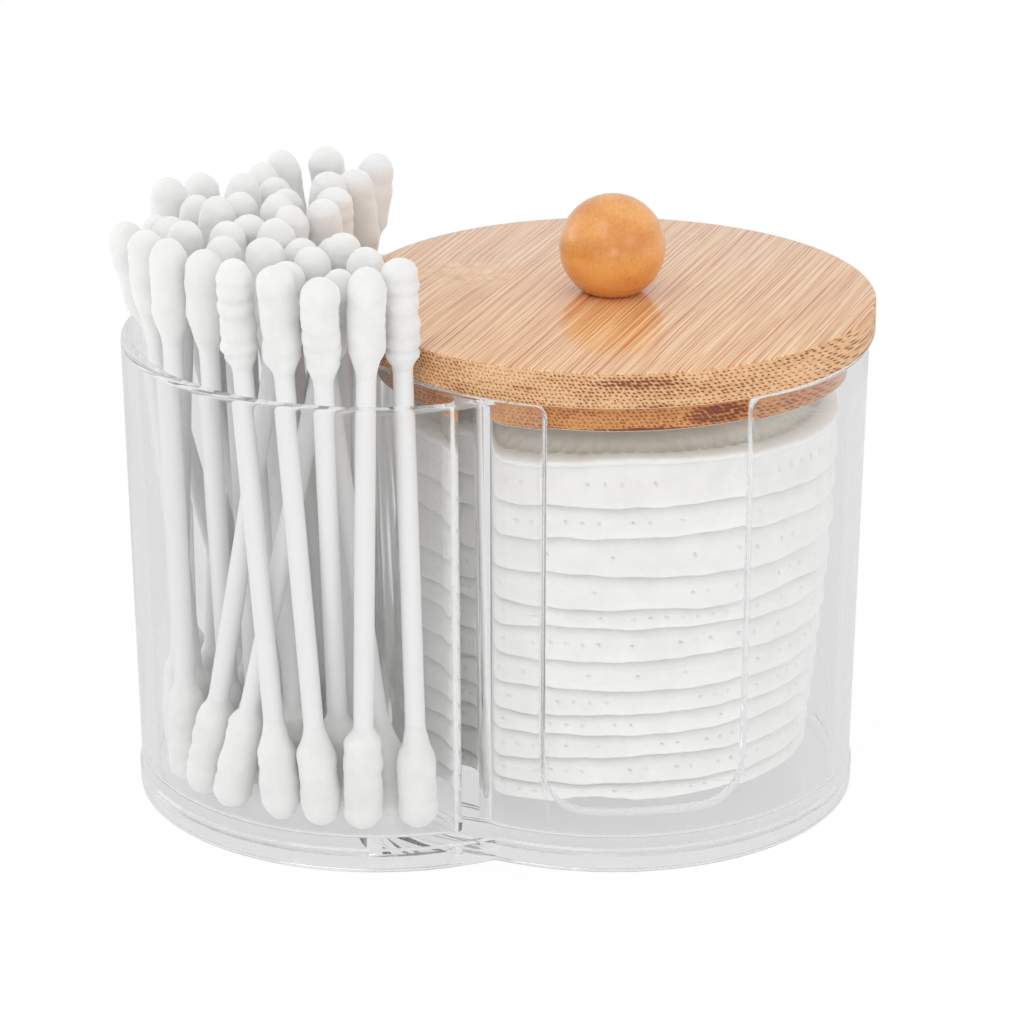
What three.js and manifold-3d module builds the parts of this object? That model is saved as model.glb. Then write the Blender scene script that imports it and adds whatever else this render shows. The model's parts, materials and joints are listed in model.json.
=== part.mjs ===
// A clear two cup holder for cotton pads and cotton swabs, with a round bamboo lid.
// Millimetres, +Z up. The origin is under the middle of the whole object, on the
// surface that it stands on. The slot in the pad cup faces the front, which is -Y.

import * as THREE from 'three';
import { mergeVertices } from 'three/addons/utils/BufferGeometryUtils.js';
import Module from 'manifold-3d';

const wasm = await Module();
wasm.setup();

// Holder: two equal cups that overlap, moulded in one piece
const cupOuterRadius = 32.8;
const cupSpacing = 29.7;
const wallThickness = 2.0;
const rimHeight = 61.5;
const draftInset = 1.0;
const floorThickness = 2.0;
const footHeight = 2.0;
const skirtHeight = 3.3;
const skirtStep = 0.3;
const rimRound = 0.6;
const floorFillet = 0.8;
const hornFillet = 1.3;
const valleyFillet = 1.6;

// Slot in the front of the pad cup, open at the rim
const slotWidth = 24.8;
const slotSillHeight = 8.2;
const slotCornerRadius = 5.3;
const slotRimRadius = 1.5;
const slotTurn = THREE.MathUtils.degToRad(7.3);

// Lid: a round disc that reaches over the rim, and under it a smaller plug that
// sits in the pad cup with some play, both bamboo board
const lidOverhang = 0.7;
const lidThickness = 4.6;
const lidSeatGap = 0.3;
const plugPlay = 0.7;
const plugThickness = 4.0;
const boardRound = 0.5;

// Turned knob on the lid, and the screw that holds it from below
const knobRadius = 6.75;
const knobFootRadius = 3.4;
const screwShankRadius = 1.5;
const screwHeadRadius = 3.0;
const screwHeadThickness = 1.8;
const screwHeadSink = 0.4;
const screwReachInKnob = 6.5;
const screwPointLength = 2.0;
const screwClearance = 0.3;
const driverSlotWidth = 0.8;
const driverSlotDepth = 0.9;

// Cotton pads, counted from the floor of the cup. They lie in it with some play, under
// a plug that leaves them some headroom, and the lowest pad is the smallest.
const padPlay = 2.5;
const padSeatGap = 0.3;
const padGap = 0.3;
const padHeadroom = 2.2;
const padShrink = 1.1;
const padEdgeLevelShares = [
  0.064, 0.108, 0.176, 0.24, 0.295, 0.361, 0.438, 0.52, 0.573, 0.657, 0.756, 0.836, 0.955,
];
const padPlayShares = [-0.5, -0.45, -0.36, -0.27, -0.2, -0.06, 0.04, 0.12, 0.2, 0.3, 0.34, 0.4];
const padProfileShares = [0.6, 0.93];

// The edge level shares above are the heights at which the edges of the pads part, from
// the floor to the top of the stack. The play shares say how far each pad lies off centre.

// Cotton swabs: a paper stick with a bud on each end
const swabLength = 74;
const stickRadius = 1.25;
const budRadius = 2.5;
const budLength = 13.5;
const swabGap = 0.3;
const swabSeatGap = 0.3;
const swabFloorShare = 0.526;

// Outlines of the two kinds of bud, as shares of its radius and of its length
const roundBudShares = [[0.62, 0.06], [1, 0.22], [0.96, 0.84]];
const pointedBudShares = [[0.5, 0.05], [1, 0.38], [0.86, 0.66]];

// The floor share is how much of the crescent's floor the feet of the swabs cover,
// and sets their number. Each swab stands on the floor at its foot and leans to its
// tip. Both places are shares of the inner radius of the cup, across (+X) and back
// (+Y) from its axis. The last value says whether the ribbed bud is on top (1) or at
// the foot (0).
const swabStandShares = [
  [-0.49, 0.76, -0.36, 0.62, 0],
  [-0.32, 0.6, -0.5, 0.2, 0],
  [-0.2, 0.54, -0.24, 0.82, 0],
  [-0.61, 0.57, -0.72, 0.28, 0],
  [-0.55, 0.41, -0.3, 0.42, 1],
  [-0.88, 0.5, -0.5, 0.5, 0],
  [-0.76, 0.33, -0.34, 0.1, 0],
  [-0.47, 0.34, -0.7, 0.44, 0],
  [-0.36, 0.3, -0.48, 0.5, 1],
  [-0.24, 0.42, -0.06, 0.78, 0],
  [0.04, 0.7, -0.72, 0.4, 0],
  [-0.97, 0.18, -0.7, 0.02, 0],
  [-1.08, 0.34, -0.5, 0.08, 0],
  [-1.28, 0.06, -0.42, 0.1, 0],
  [-0.76, 0.09, -0.52, -0.1, 0],
  [-0.42, 0.12, -0.34, 0.24, 0],
  [-0.59, 0.02, -0.3, -0.1, 0],
  [-0.47, -0.06, -0.44, -0.36, 0],
  [-0.95, -0.1, -0.66, 0.36, 0],
  [-1.24, -0.2, -0.44, -0.08, 0],
  [-0.9, -0.3, -0.62, -0.16, 0],
  [-0.68, -0.34, -0.86, -0.14, 0],
  [-0.52, -0.27, -0.76, 0.12, 0],
  [-0.33, -0.37, -0.28, -0.32, 0],
  [-0.19, -0.38, -0.3, 0.02, 0],
  [-0.1, -0.46, -0.2, -0.56, 1],
  [-1.24, -0.46, -0.5, -0.2, 0],
  [-1.08, -0.72, -0.5, -0.4, 0],
  [-0.86, -0.56, -0.8, -0.4, 0],
  [-0.73, -0.7, -0.44, -0.74, 1],
  [-0.62, -0.58, -0.36, -0.48, 0],
  [-0.54, -0.48, -0.5, -0.6, 0],
  [-0.51, -0.68, -0.68, -0.56, 0],
  [-0.47, -0.55, -0.26, -0.74, 0],
  [-0.35, -0.74, -0.56, -0.3, 0],
  [-0.28, -0.62, -0.02, -0.84, 1],
  [-0.28, -0.98, -0.16, -0.82, 1],
  [-0.14, -0.84, -0.6, -0.7, 0],
  [-0.08, -0.7, -0.1, -0.7, 0],
  [0.06, -0.8, 0.1, -0.88, 1],
  [-0.3, -0.8, -0.3, -0.86, 1],
  [-0.14, -1.0, -0.06, -0.9, 0],
];

// The swabs are eased apart until they stand still, and watched at these places
// along their length so that they stay clear of the lid
const settleRounds = 1500;
const settleStillShare = 0.001;
const lidWatchShares = [0, 0.25, 0.5, 0.75, 1];

// A last value in the table above this level puts the ribbed bud on top
const ribbedUpLevel = 0.5;

// How finely round shapes are cut
const cupSides = 60;
const lidSides = 48;
const knobSides = 28;
const knobRings = 10;
const screwSides = 16;
const padSides = 32;
const swabSides = 8;
const cornerSteps = 3;
const cutOverrun = 1;

// Sizes that follow from those above
const wallHalf = wallThickness / 2;
const floorTop = footHeight + floorThickness;
const padCupX = cupSpacing / 2;
const swabCupX = -cupSpacing / 2;
const lidRadius = cupOuterRadius + lidOverhang;
const plugRadius = innerRadiusAt(rimHeight) - plugPlay;
const padRadius = innerRadiusAt(rimHeight) - padPlay;
const lidUnder = rimHeight + lidSeatGap;
const lidTop = lidUnder + lidThickness;
const plugUnder = lidUnder - plugThickness;
const padStackTop = plugUnder - padHeadroom;
const screwHoleRadius = screwShankRadius + screwClearance;
const headRecessRadius = screwHeadRadius + screwClearance;
const headRecessDepth = screwHeadSink + screwHeadThickness;
const screwSeat = plugUnder + headRecessDepth;

const materials = {
  clear: new THREE.MeshStandardMaterial({ color: 0xeceff4, roughness: 0.08, metalness: 0, opacity: 0.35 }),
  bamboo: new THREE.MeshStandardMaterial({ color: 0xdfb78d, roughness: 0.35, metalness: 0 }),
  bambooEdge: new THREE.MeshStandardMaterial({ color: 0xc98f58, roughness: 0.4, metalness: 0 }),
  knobWood: new THREE.MeshStandardMaterial({ color: 0xd8914a, roughness: 0.25, metalness: 0 }),
  steel: new THREE.MeshStandardMaterial({ color: 0xb9bbbd, roughness: 0.35, metalness: 1 }),
  padCotton: new THREE.MeshStandardMaterial({ color: 0xf1f1ef, roughness: 0.95, metalness: 0 }),
  swabCotton: new THREE.MeshStandardMaterial({ color: 0xf6f6f4, roughness: 0.9, metalness: 0 }),
};

function outerRadiusAt(height) {
  return cupOuterRadius - draftInset * (1 - height / rimHeight);
}

function innerRadiusAt(height) {
  return outerRadiusAt(height) - wallThickness;
}

// Points of an arc about a centre, both ends included
function arc(centre, radius, from, to, steps) {
  return Array.from({ length: steps + 1 }, (_, step) => {
    const angle = from + (to - from) * (step / steps);
    return point(centre.x + radius * Math.cos(angle), centre.y + radius * Math.sin(angle));
  });
}

// A place on a plan, or the radius and height of a corner of a turned profile
function point(x, y) {
  return new THREE.Vector2(x, y);
}

// A turned solid about +Z from a profile of radius and height
function turned(profile, sides) {
  return new THREE.LatheGeometry(profile, sides).rotateX(Math.PI / 2);
}

function toSolid(geometry) {
  const bare = geometry.clone();
  bare.deleteAttribute('normal');
  bare.deleteAttribute('uv');
  const merged = mergeVertices(bare);
  return new wasm.Manifold(new wasm.Mesh({
    numProp: 3,
    vertProperties: new Float32Array(merged.attributes.position.array),
    triVerts: new Uint32Array(merged.index.array),
  }));
}

function toGeometry(solid) {
  const mesh = solid.getMesh();
  const geometry = new THREE.BufferGeometry();
  geometry.setAttribute('position', new THREE.BufferAttribute(mesh.vertProperties, mesh.numProp));
  geometry.setIndex(new THREE.BufferAttribute(mesh.triVerts, 1));
  return geometry;
}

function named(name, geometry, material) {
  const mesh = new THREE.Mesh(geometry, material);
  mesh.name = name;
  return mesh;
}

// A closed solid between two outlines with equally many points, counterclockwise from above
function loft(lower, upper, bottom, top) {
  const count = lower.length;
  const positions = [
    ...lower.flatMap((corner) => [corner.x, corner.y, bottom]),
    ...upper.flatMap((corner) => [corner.x, corner.y, top]),
  ];
  const indices = [];
  THREE.ShapeUtils.triangulateShape(lower, []).forEach(([a, b, c]) => {
    indices.push(a, c, b, a + count, b + count, c + count);
  });
  for (let corner = 0; corner < count; corner += 1) {
    const next = (corner + 1) % count;
    indices.push(corner, next, next + count, corner, next + count, corner + count);
  }
  const geometry = new THREE.BufferGeometry();
  geometry.setAttribute('position', new THREE.Float32BufferAttribute(positions, 3));
  geometry.setIndex(indices);
  return geometry;
}

// One cup as a turned shell: floor, drafted wall, rounded rim, skirt and foot ring
function cupShell() {
  const rimInner = innerRadiusAt(rimHeight) + rimRound;
  const rimOuter = outerRadiusAt(rimHeight) - rimRound;
  const skirtRadius = outerRadiusAt(skirtHeight) + skirtStep;
  const footRadius = outerRadiusAt(0) + skirtStep;
  const recessRadius = footRadius - wallThickness;
  const filletCentre = point(innerRadiusAt(floorTop) - floorFillet, floorTop + floorFillet);
  const profile = [
    point(0, footHeight),
    point(recessRadius, footHeight),
    point(recessRadius, 0),
    point(footRadius, 0),
    point(skirtRadius, skirtHeight - skirtStep),
    point(outerRadiusAt(skirtHeight), skirtHeight),
    ...arc(point(rimOuter, rimHeight - rimRound), rimRound, 0, Math.PI / 2, cornerSteps),
    ...arc(point(rimInner, rimHeight - rimRound), rimRound, Math.PI / 2, Math.PI, cornerSteps),
    ...arc(filletCentre, floorFillet, 0, -Math.PI / 2, cornerSteps),
    point(0, floorTop),
  ];
  return turned(profile, cupSides);
}

// A drafted plug as tall as the cup with its overruns, inset from the outer wall
function cupEnvelope(inset) {
  const low = -cutOverrun;
  const high = rimHeight + cutOverrun;
  const profile = [
    point(0, low),
    point(outerRadiusAt(low) - inset, low),
    point(outerRadiusAt(high) - inset, high),
    point(0, high),
  ];
  return turned(profile, cupSides);
}

// Plan of the web that rounds the corner where the two cups cross, at one height
function junctionOutline(height) {
  const outer = outerRadiusAt(height);
  const inner = innerRadiusAt(height);
  const swabAxis = point(swabCupX, 0);
  const padAxis = point(padCupX, 0);
  const hornToSwab = inner - hornFillet;
  const hornToPad = outer + hornFillet;
  const hornX = (hornToSwab ** 2 - hornToPad ** 2) / (2 * cupSpacing);
  const horn = point(hornX, -Math.sqrt(hornToSwab ** 2 - (hornX - swabCupX) ** 2));
  const valley = point(0, -Math.sqrt((outer + valleyFillet) ** 2 - padCupX ** 2));
  const angle = (from, to) => Math.atan2(to.y - from.y, to.x - from.x);
  const hornWall = angle(swabAxis, horn);
  const hornPad = angle(horn, padAxis);
  const valleySwab = angle(valley, swabAxis);
  const valleyPad = angle(valley, padAxis);
  return [
    ...arc(horn, hornFillet, hornPad, hornWall, cornerSteps),
    ...arc(valley, valleyFillet, valleySwab, valleyPad, cornerSteps),
  ];
}

function junctionWebs() {
  const lower = junctionOutline(0);
  const upper = junctionOutline(rimHeight - rimRound);
  const front = loft(lower, upper, 0, rimHeight - rimRound);
  const flip = (corner) => point(corner.x, -corner.y);
  const back = loft(lower.map(flip).reverse(), upper.map(flip).reverse(), 0, rimHeight - rimRound);
  return [front, back];
}

// The slot's cutter: round lower corners, and a flare that rounds the corners at the rim
function slotCutter() {
  const half = slotWidth / 2;
  const low = slotSillHeight + slotCornerRadius;
  const flareLevel = rimHeight - slotRimRadius;
  const high = rimHeight + cutOverrun;
  const flare = half + slotRimRadius;
  const outline = [
    ...arc(point(slotCornerRadius - half, low), slotCornerRadius, Math.PI, 1.5 * Math.PI, cornerSteps),
    ...arc(point(half - slotCornerRadius, low), slotCornerRadius, 1.5 * Math.PI, 2 * Math.PI, cornerSteps),
    ...arc(point(flare, flareLevel), slotRimRadius, Math.PI, Math.PI / 2, cornerSteps),
    point(flare, high),
    point(-flare, high),
    ...arc(point(-flare, flareLevel), slotRimRadius, Math.PI / 2, 0, cornerSteps),
  ];
  const reach = cupOuterRadius + cutOverrun;
  const cutter = new THREE.ExtrudeGeometry(new THREE.Shape(outline), { depth: reach, bevelEnabled: false });
  return cutter.rotateX(Math.PI / 2).rotateZ(slotTurn).translate(padCupX, 0, 0);
}

function holderBody() {
  const padCup = toSolid(cupShell().translate(padCupX, 0, 0));
  const swabCup = toSolid(cupShell().translate(swabCupX, 0, 0));
  const padRoom = toSolid(cupEnvelope(wallHalf).translate(padCupX, 0, 0));
  const joined = junctionWebs().reduce((sum, web) => sum.add(toSolid(web)), swabCup);
  const crescent = joined.subtract(padRoom);
  const body = padCup.add(crescent).subtract(toSolid(slotCutter()));
  return named('holder_body', toGeometry(body), materials.clear);
}

// A round board with eased edges and a hole along its axis
function board(radius, bottom, top, holes) {
  const profile = [
    point(0, bottom),
    ...arc(point(radius - boardRound, bottom + boardRound), boardRound, -Math.PI / 2, 0, cornerSteps),
    ...arc(point(radius - boardRound, top - boardRound), boardRound, 0, Math.PI / 2, cornerSteps),
    point(0, top),
  ];
  const blank = toSolid(turned(profile, lidSides));
  return toGeometry(holes.reduce((sum, hole) => sum.subtract(toSolid(hole)), blank));
}

function bore(radius, bottom, top) {
  const profile = [point(0, bottom), point(radius, bottom), point(radius, top), point(0, top)];
  return turned(profile, screwSides);
}

function lidDisc() {
  const hole = bore(screwHoleRadius, lidUnder - cutOverrun, lidTop + cutOverrun);
  return named('lid_disc', board(lidRadius, lidUnder, lidTop, [hole]), materials.bamboo);
}

function lidPlug() {
  const hole = bore(screwHoleRadius, plugUnder - cutOverrun, lidUnder + cutOverrun);
  const headRecess = bore(headRecessRadius, plugUnder - cutOverrun, screwSeat);
  const plug = board(plugRadius, plugUnder, lidUnder, [hole, headRecess]);
  return named('lid_plug', plug, materials.bambooEdge);
}

// A ball cut flat where it stands on the lid, with a blind hole for the screw
function lidKnob() {
  const footAngle = Math.asin(knobFootRadius / knobRadius);
  const centre = point(0, lidTop + knobRadius * Math.cos(footAngle));
  const from = footAngle - Math.PI / 2;
  const profile = [point(0, lidTop), ...arc(centre, knobRadius, from, Math.PI / 2, knobRings)];
  profile[profile.length - 1].x = 0;
  const ball = toSolid(turned(profile, knobSides));
  const holeTop = lidTop + screwReachInKnob + screwClearance;
  const hole = toSolid(bore(screwHoleRadius, lidTop - cutOverrun, holeTop));
  return named('lid_knob', toGeometry(ball.subtract(hole)), materials.knobWood);
}

function lidScrew() {
  const headUnder = screwSeat - screwHeadThickness;
  const tip = lidTop + screwReachInKnob;
  const profile = [
    point(0, headUnder),
    point(screwHeadRadius, headUnder),
    point(screwHeadRadius, screwSeat),
    point(screwShankRadius, screwSeat),
    point(screwShankRadius, tip - screwPointLength),
    point(0, tip),
  ];
  const blank = toSolid(turned(profile, screwSides));
  const slotLength = 2 * (screwHeadRadius + cutOverrun);
  const slotDepth = 2 * driverSlotDepth;
  const slot = new THREE.BoxGeometry(slotLength, driverSlotWidth, slotDepth).translate(0, 0, headUnder);
  return named('lid_screw', toGeometry(blank.subtract(toSolid(slot))), materials.steel);
}

function lid() {
  const group = new THREE.Group();
  group.add(lidDisc(), lidPlug(), lidKnob(), lidScrew());
  group.position.x = padCupX;
  return group;
}

// Height of the boundary under pad number index, at a share of the pad's radius.
// Low pads are dished, so their edges stand higher than their middles.
function padLevel(index, radiusShare) {
  const count = padPlayShares.length;
  const low = floorTop + padSeatGap;
  const middle = low + (padStackTop - low) * (index / count);
  const edge = low + (padStackTop - low) * padEdgeLevelShares[index];
  return middle + (edge - middle) * radiusShare ** 2;
}

function cottonPad(index) {
  const count = padPlayShares.length;
  const radius = padRadius - padShrink * (1 - index / (count - 1));
  const halfGap = padGap / 2;
  const under = padProfileShares.map((share) => point(radius * share, padLevel(index, share) + halfGap));
  const over = padProfileShares.map((share) => point(radius * share, padLevel(index + 1, share) - halfGap));
  const profile = [
    point(0, padLevel(index, 0) + halfGap),
    ...under,
    point(radius, (padLevel(index, 1) + padLevel(index + 1, 1)) / 2),
    ...over.reverse(),
    point(0, padLevel(index + 1, 0) - halfGap),
  ];
  const play = innerRadiusAt(padLevel(index, 1)) - radius;
  const number = String(index + 1).padStart(2, '0');
  const pad = named(`cotton_pad_${number}`, turned(profile, padSides), materials.padCotton);
  pad.position.x = padCupX + play * padPlayShares[index];
  return pad;
}

function padStack() {
  const group = new THREE.Group();
  padPlayShares.forEach((_, index) => group.add(cottonPad(index)));
  return group;
}

// A swab is a line between the centres of its two rounded bud ends. The ends move
// across the cup, the foot stays on the floor, and the length never changes.
const footLevel = floorTop + swabSeatGap + budRadius;
const spanBetweenEnds = swabLength - 2 * budRadius;

function raiseTip(swab) {
  const lean = Math.hypot(swab.tip.x - swab.foot.x, swab.tip.y - swab.foot.y);
  swab.tip.z = footLevel + Math.sqrt(spanBetweenEnds ** 2 - lean ** 2);
}

function newSwab([tipX, tipY, footX, footY, ribbedUp]) {
  const reach = innerRadiusAt(rimHeight);
  const swab = {
    foot: new THREE.Vector3(swabCupX + reach * footX, reach * footY, footLevel),
    tip: new THREE.Vector3(swabCupX + reach * tipX, reach * tipY, footLevel),
    ribbedUp: ribbedUp > ribbedUpLevel,
  };
  raiseTip(swab);
  return swab;
}

// Area of the floor inside the crescent: the swab cup without what the pad cup takes
function crescentFloor() {
  const inner = innerRadiusAt(floorTop);
  const outer = outerRadiusAt(floorTop);
  const innerReach = (cupSpacing ** 2 + inner ** 2 - outer ** 2) / (2 * cupSpacing);
  const outerReach = cupSpacing - innerReach;
  const chordHalf = Math.sqrt(inner ** 2 - innerReach ** 2);
  const innerPart = inner ** 2 * Math.acos(innerReach / inner) - innerReach * chordHalf;
  const outerPart = outer ** 2 * Math.acos(outerReach / outer) - outerReach * chordHalf;
  return Math.PI * inner ** 2 - innerPart - outerPart;
}

// Stand of one of as many swabs as the floor holds, taken evenly from the table
function swabStand(index, count) {
  const rows = swabStandShares.length;
  const place = (index * rows) / count;
  const row = Math.floor(place);
  const next = swabStandShares[Math.min(row + 1, rows - 1)];
  return swabStandShares[row].map((share, column) => share + (next[column] - share) * (place - row));
}

// The stick and the two buds as stretches of the line, each with its radius
const budEndShare = (budLength - 2 * budRadius) / spanBetweenEnds;
const stretches = [
  { from: 0, to: budEndShare, radius: budRadius },
  { from: budEndShare, to: 1 - budEndShare, radius: stickRadius },
  { from: 1 - budEndShare, to: 1, radius: budRadius },
];

// Shares along two straight stretches where they come closest
function closestShares(start, along, other, otherAlong) {
  const between = start.clone().sub(other);
  const a = along.dot(along);
  const e = otherAlong.dot(otherAlong);
  const b = along.dot(otherAlong);
  const c = along.dot(between);
  const f = otherAlong.dot(between);
  const spread = a * e - b * b;
  let s = spread > 0 ? THREE.MathUtils.clamp((b * f - c * e) / spread, 0, 1) : 0;
  const t = THREE.MathUtils.clamp((b * s + f) / e, 0, 1);
  s = THREE.MathUtils.clamp((b * t - c) / a, 0, 1);
  return [s, t];
}

// Moves the point at one share of a swab sideways by turning and shifting the swab
function nudge(swab, share, push) {
  const weight = (1 - share) ** 2 + share ** 2;
  swab.foot.x += (push.x * (1 - share)) / weight;
  swab.foot.y += (push.y * (1 - share)) / weight;
  swab.tip.x += (push.x * share) / weight;
  swab.tip.y += (push.y * share) / weight;
  raiseTip(swab);
}

function stretchStart(swab, stretch) {
  return swab.foot.clone().lerp(swab.tip, stretch.from);
}

function stretchAlong(swab, stretch) {
  return swab.tip.clone().sub(swab.foot).multiplyScalar(stretch.to - stretch.from);
}

function partSwabs(one, two) {
  let moved = 0;
  stretches.forEach((mine) => {
    stretches.forEach((theirs) => {
      const start = stretchStart(one, mine);
      const along = stretchAlong(one, mine);
      const other = stretchStart(two, theirs);
      const otherAlong = stretchAlong(two, theirs);
      const [s, t] = closestShares(start, along, other, otherAlong);
      const gap = start.addScaledVector(along, s).sub(other.addScaledVector(otherAlong, t));
      const short = mine.radius + theirs.radius + swabGap - gap.length();
      if (short <= 0) return;
      const push = new THREE.Vector2(gap.x, gap.y).setLength(short / 2);
      nudge(one, mine.from + s * (mine.to - mine.from), push);
      nudge(two, theirs.from + t * (theirs.to - theirs.from), push.negate());
      moved = Math.max(moved, short);
    });
  });
  return moved;
}

function pointAlong(swab, share) {
  return swab.foot.clone().lerp(swab.tip, share);
}

// Keeps a swab inside the cup up to the rim, and clear of the pad cup and the lid,
// so that the swabs and the lid can each be lifted straight up
function keepInCup(swab) {
  let moved = 0;
  const rimShare = Math.min((rimHeight - swab.foot.z) / (swab.tip.z - swab.foot.z), 1);
  const inside = [0, budEndShare, 1 - budEndShare, 1].filter((share) => share < rimShare);
  [...inside, rimShare].forEach((share) => {
    const isBud = share <= budEndShare || share >= 1 - budEndShare;
    const radius = isBud ? budRadius : stickRadius;
    const place = pointAlong(swab, share);
    const out = new THREE.Vector2(place.x - swabCupX, place.y);
    const over = out.length() + radius + swabGap - innerRadiusAt(place.z);
    if (over <= 0) return;
    nudge(swab, share, out.setLength(-over));
    moved = Math.max(moved, over);
  });
  lidWatchShares.forEach((share) => {
    const place = pointAlong(swab, share);
    const away = new THREE.Vector2(place.x - padCupX, place.y);
    const short = lidRadius + budRadius + swabGap - away.length();
    if (short <= 0) return;
    nudge(swab, share, away.setLength(short));
    moved = Math.max(moved, short);
  });
  return moved;
}

function settledSwabs() {
  const footArea = Math.PI * budRadius ** 2;
  const count = Math.round((crescentFloor() * swabFloorShare) / footArea);
  const swabs = Array.from({ length: count }, (_, index) => newSwab(swabStand(index, count)));
  const still = swabGap * settleStillShare;
  for (let round = 0; round < settleRounds; round += 1) {
    let moved = 0;
    swabs.forEach((swab, index) => {
      swabs.slice(index + 1).forEach((other) => {
        moved = Math.max(moved, partSwabs(swab, other));
      });
    });
    swabs.forEach((swab) => {
      moved = Math.max(moved, keepInCup(swab));
    });
    if (moved < still) break;
  }
  return swabs;
}

function budOutline(shares) {
  const bulge = shares.map(([across, up]) => point(budRadius * across, budLength * up));
  return [...bulge, point(stickRadius, budLength)];
}

function cottonSwab(swab, index) {
  const lower = budOutline(swab.ribbedUp ? pointedBudShares : roundBudShares);
  const upper = budOutline(swab.ribbedUp ? roundBudShares : pointedBudShares).reverse();
  const profile = [
    point(0, 0),
    ...lower,
    ...upper.map((corner) => point(corner.x, swabLength - corner.y)),
    point(0, swabLength),
  ];
  const number = String(index + 1).padStart(2, '0');
  const mesh = named(`cotton_swab_${number}`, turned(profile, swabSides), materials.swabCotton);
  const direction = swab.tip.clone().sub(swab.foot).normalize();
  mesh.quaternion.setFromUnitVectors(new THREE.Vector3(0, 0, 1), direction);
  mesh.position.copy(swab.foot).addScaledVector(direction, -budRadius);
  return mesh;
}

function swabBunch() {
  const group = new THREE.Group();
  settledSwabs().forEach((swab, index) => group.add(cottonSwab(swab, index)));
  return group;
}

// The origin goes under the middle of the whole object
const assembly = new THREE.Group();
assembly.add(holderBody(), lid(), padStack(), swabBunch());
assembly.updateMatrixWorld(true);
const middle = new THREE.Box3().setFromObject(assembly, true).getCenter(new THREE.Vector3());
assembly.position.set(-middle.x, -middle.y, 0);
assembly.updateMatrixWorld(true);

export default assembly;
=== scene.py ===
"""Looks of a clear two cup holder for cotton pads and cotton swabs, with a round bamboo lid.

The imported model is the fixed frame. Every visible piece is modelled finer around it here,
dressed in node materials, and rides on the body that carries it.
"""

import json
import logging
import math
from dataclasses import dataclass, field
from enum import Enum
from typing import Any, Callable, Optional, Sequence

import bmesh
import bpy
import numpy as np
from mathutils import Matrix, Vector, noise

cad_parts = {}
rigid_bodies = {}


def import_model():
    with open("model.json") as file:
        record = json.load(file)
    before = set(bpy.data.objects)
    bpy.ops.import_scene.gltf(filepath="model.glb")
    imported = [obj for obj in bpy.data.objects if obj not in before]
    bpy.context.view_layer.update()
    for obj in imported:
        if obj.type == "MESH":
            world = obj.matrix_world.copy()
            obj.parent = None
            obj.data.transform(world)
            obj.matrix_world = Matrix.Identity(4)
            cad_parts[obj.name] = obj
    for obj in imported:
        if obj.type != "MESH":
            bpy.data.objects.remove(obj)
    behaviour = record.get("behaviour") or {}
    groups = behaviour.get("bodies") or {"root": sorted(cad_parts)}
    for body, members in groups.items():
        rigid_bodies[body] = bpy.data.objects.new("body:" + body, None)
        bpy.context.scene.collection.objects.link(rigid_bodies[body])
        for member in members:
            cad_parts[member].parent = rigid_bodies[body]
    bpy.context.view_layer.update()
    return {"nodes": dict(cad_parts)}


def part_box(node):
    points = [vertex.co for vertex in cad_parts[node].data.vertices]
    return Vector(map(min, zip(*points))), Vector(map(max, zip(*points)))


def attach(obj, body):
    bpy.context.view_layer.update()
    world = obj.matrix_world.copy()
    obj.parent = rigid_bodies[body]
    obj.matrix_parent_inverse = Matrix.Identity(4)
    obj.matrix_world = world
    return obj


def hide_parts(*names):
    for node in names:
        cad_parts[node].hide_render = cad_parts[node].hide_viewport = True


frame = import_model()

MM = 0.001
# A distance in mm that counts as none
HAIR = 0.01
# Place on X of the pad cup's axis, in mm, where the two cups' middle is 0
PAD_AXIS = 14.85
log = logging.getLogger("cotton_pad_holder")


class Body(Enum):
    """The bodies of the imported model."""

    HOLDER = "holder"
    LID = "lid"
    PADS = "pads"
    SWABS = "swabs"


class BudKind(Enum):
    """The two ways in which the cotton is wound on a stick."""

    RIBBED = "ribbed"
    POINTED = "pointed"


# Colour and node helpers


def linear(hex_colour: str) -> tuple[float, float, float, float]:
    """Turns an sRGB hex colour to the linear colour that shaders take.

    Args:
        hex_colour: six hex digits.

    Returns:
        Linear red, green, blue, and an alpha of 1.
    """
    values = [int(hex_colour[i : i + 2], 16) / 255 for i in (0, 2, 4)]
    red, green, blue = (v / 12.92 if v <= 0.04045 else ((v + 0.055) / 1.055) ** 2.4 for v in values)
    return (red, green, blue, 1.0)


def add_node(
    material: bpy.types.ID, kind: str, inputs: Optional[dict[Any, Any]] = None, **settings: Any
) -> bpy.types.Node:
    """Adds one node with its settings, and sets or links its inputs.

    Args:
        material: the material or world that holds the node tree.
        kind: the node's type name, without ShaderNode.
        inputs: by input name or number, a value, a socket to link, or a node to link by its first output.
        settings: properties of the node itself.

    Returns:
        The new node.
    """
    tree = material.node_tree
    node = tree.nodes.new(f"ShaderNode{kind}")
    for name, value in settings.items():
        setattr(node, name, value)
    for name, value in (inputs or {}).items():
        source = value.outputs[0] if isinstance(value, bpy.types.Node) else value
        if isinstance(source, bpy.types.NodeSocket):
            tree.links.new(source, node.inputs[name])
        else:
            node.inputs[name].default_value = value
    return node


def fill_ramp(ramp: bpy.types.Node, stops: Sequence[tuple[float, str]]) -> bpy.types.Node:
    """Sets the stops of a Color Ramp node.

    Args:
        ramp: the node.
        stops: position and hex colour of each stop.

    Returns:
        The same node.
    """
    elements = ramp.color_ramp.elements
    while len(elements) < len(stops):
        elements.new(0.5)
    for element, (position, colour) in zip(elements, stops):
        element.position, element.color = position, linear(colour)
    return ramp


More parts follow.
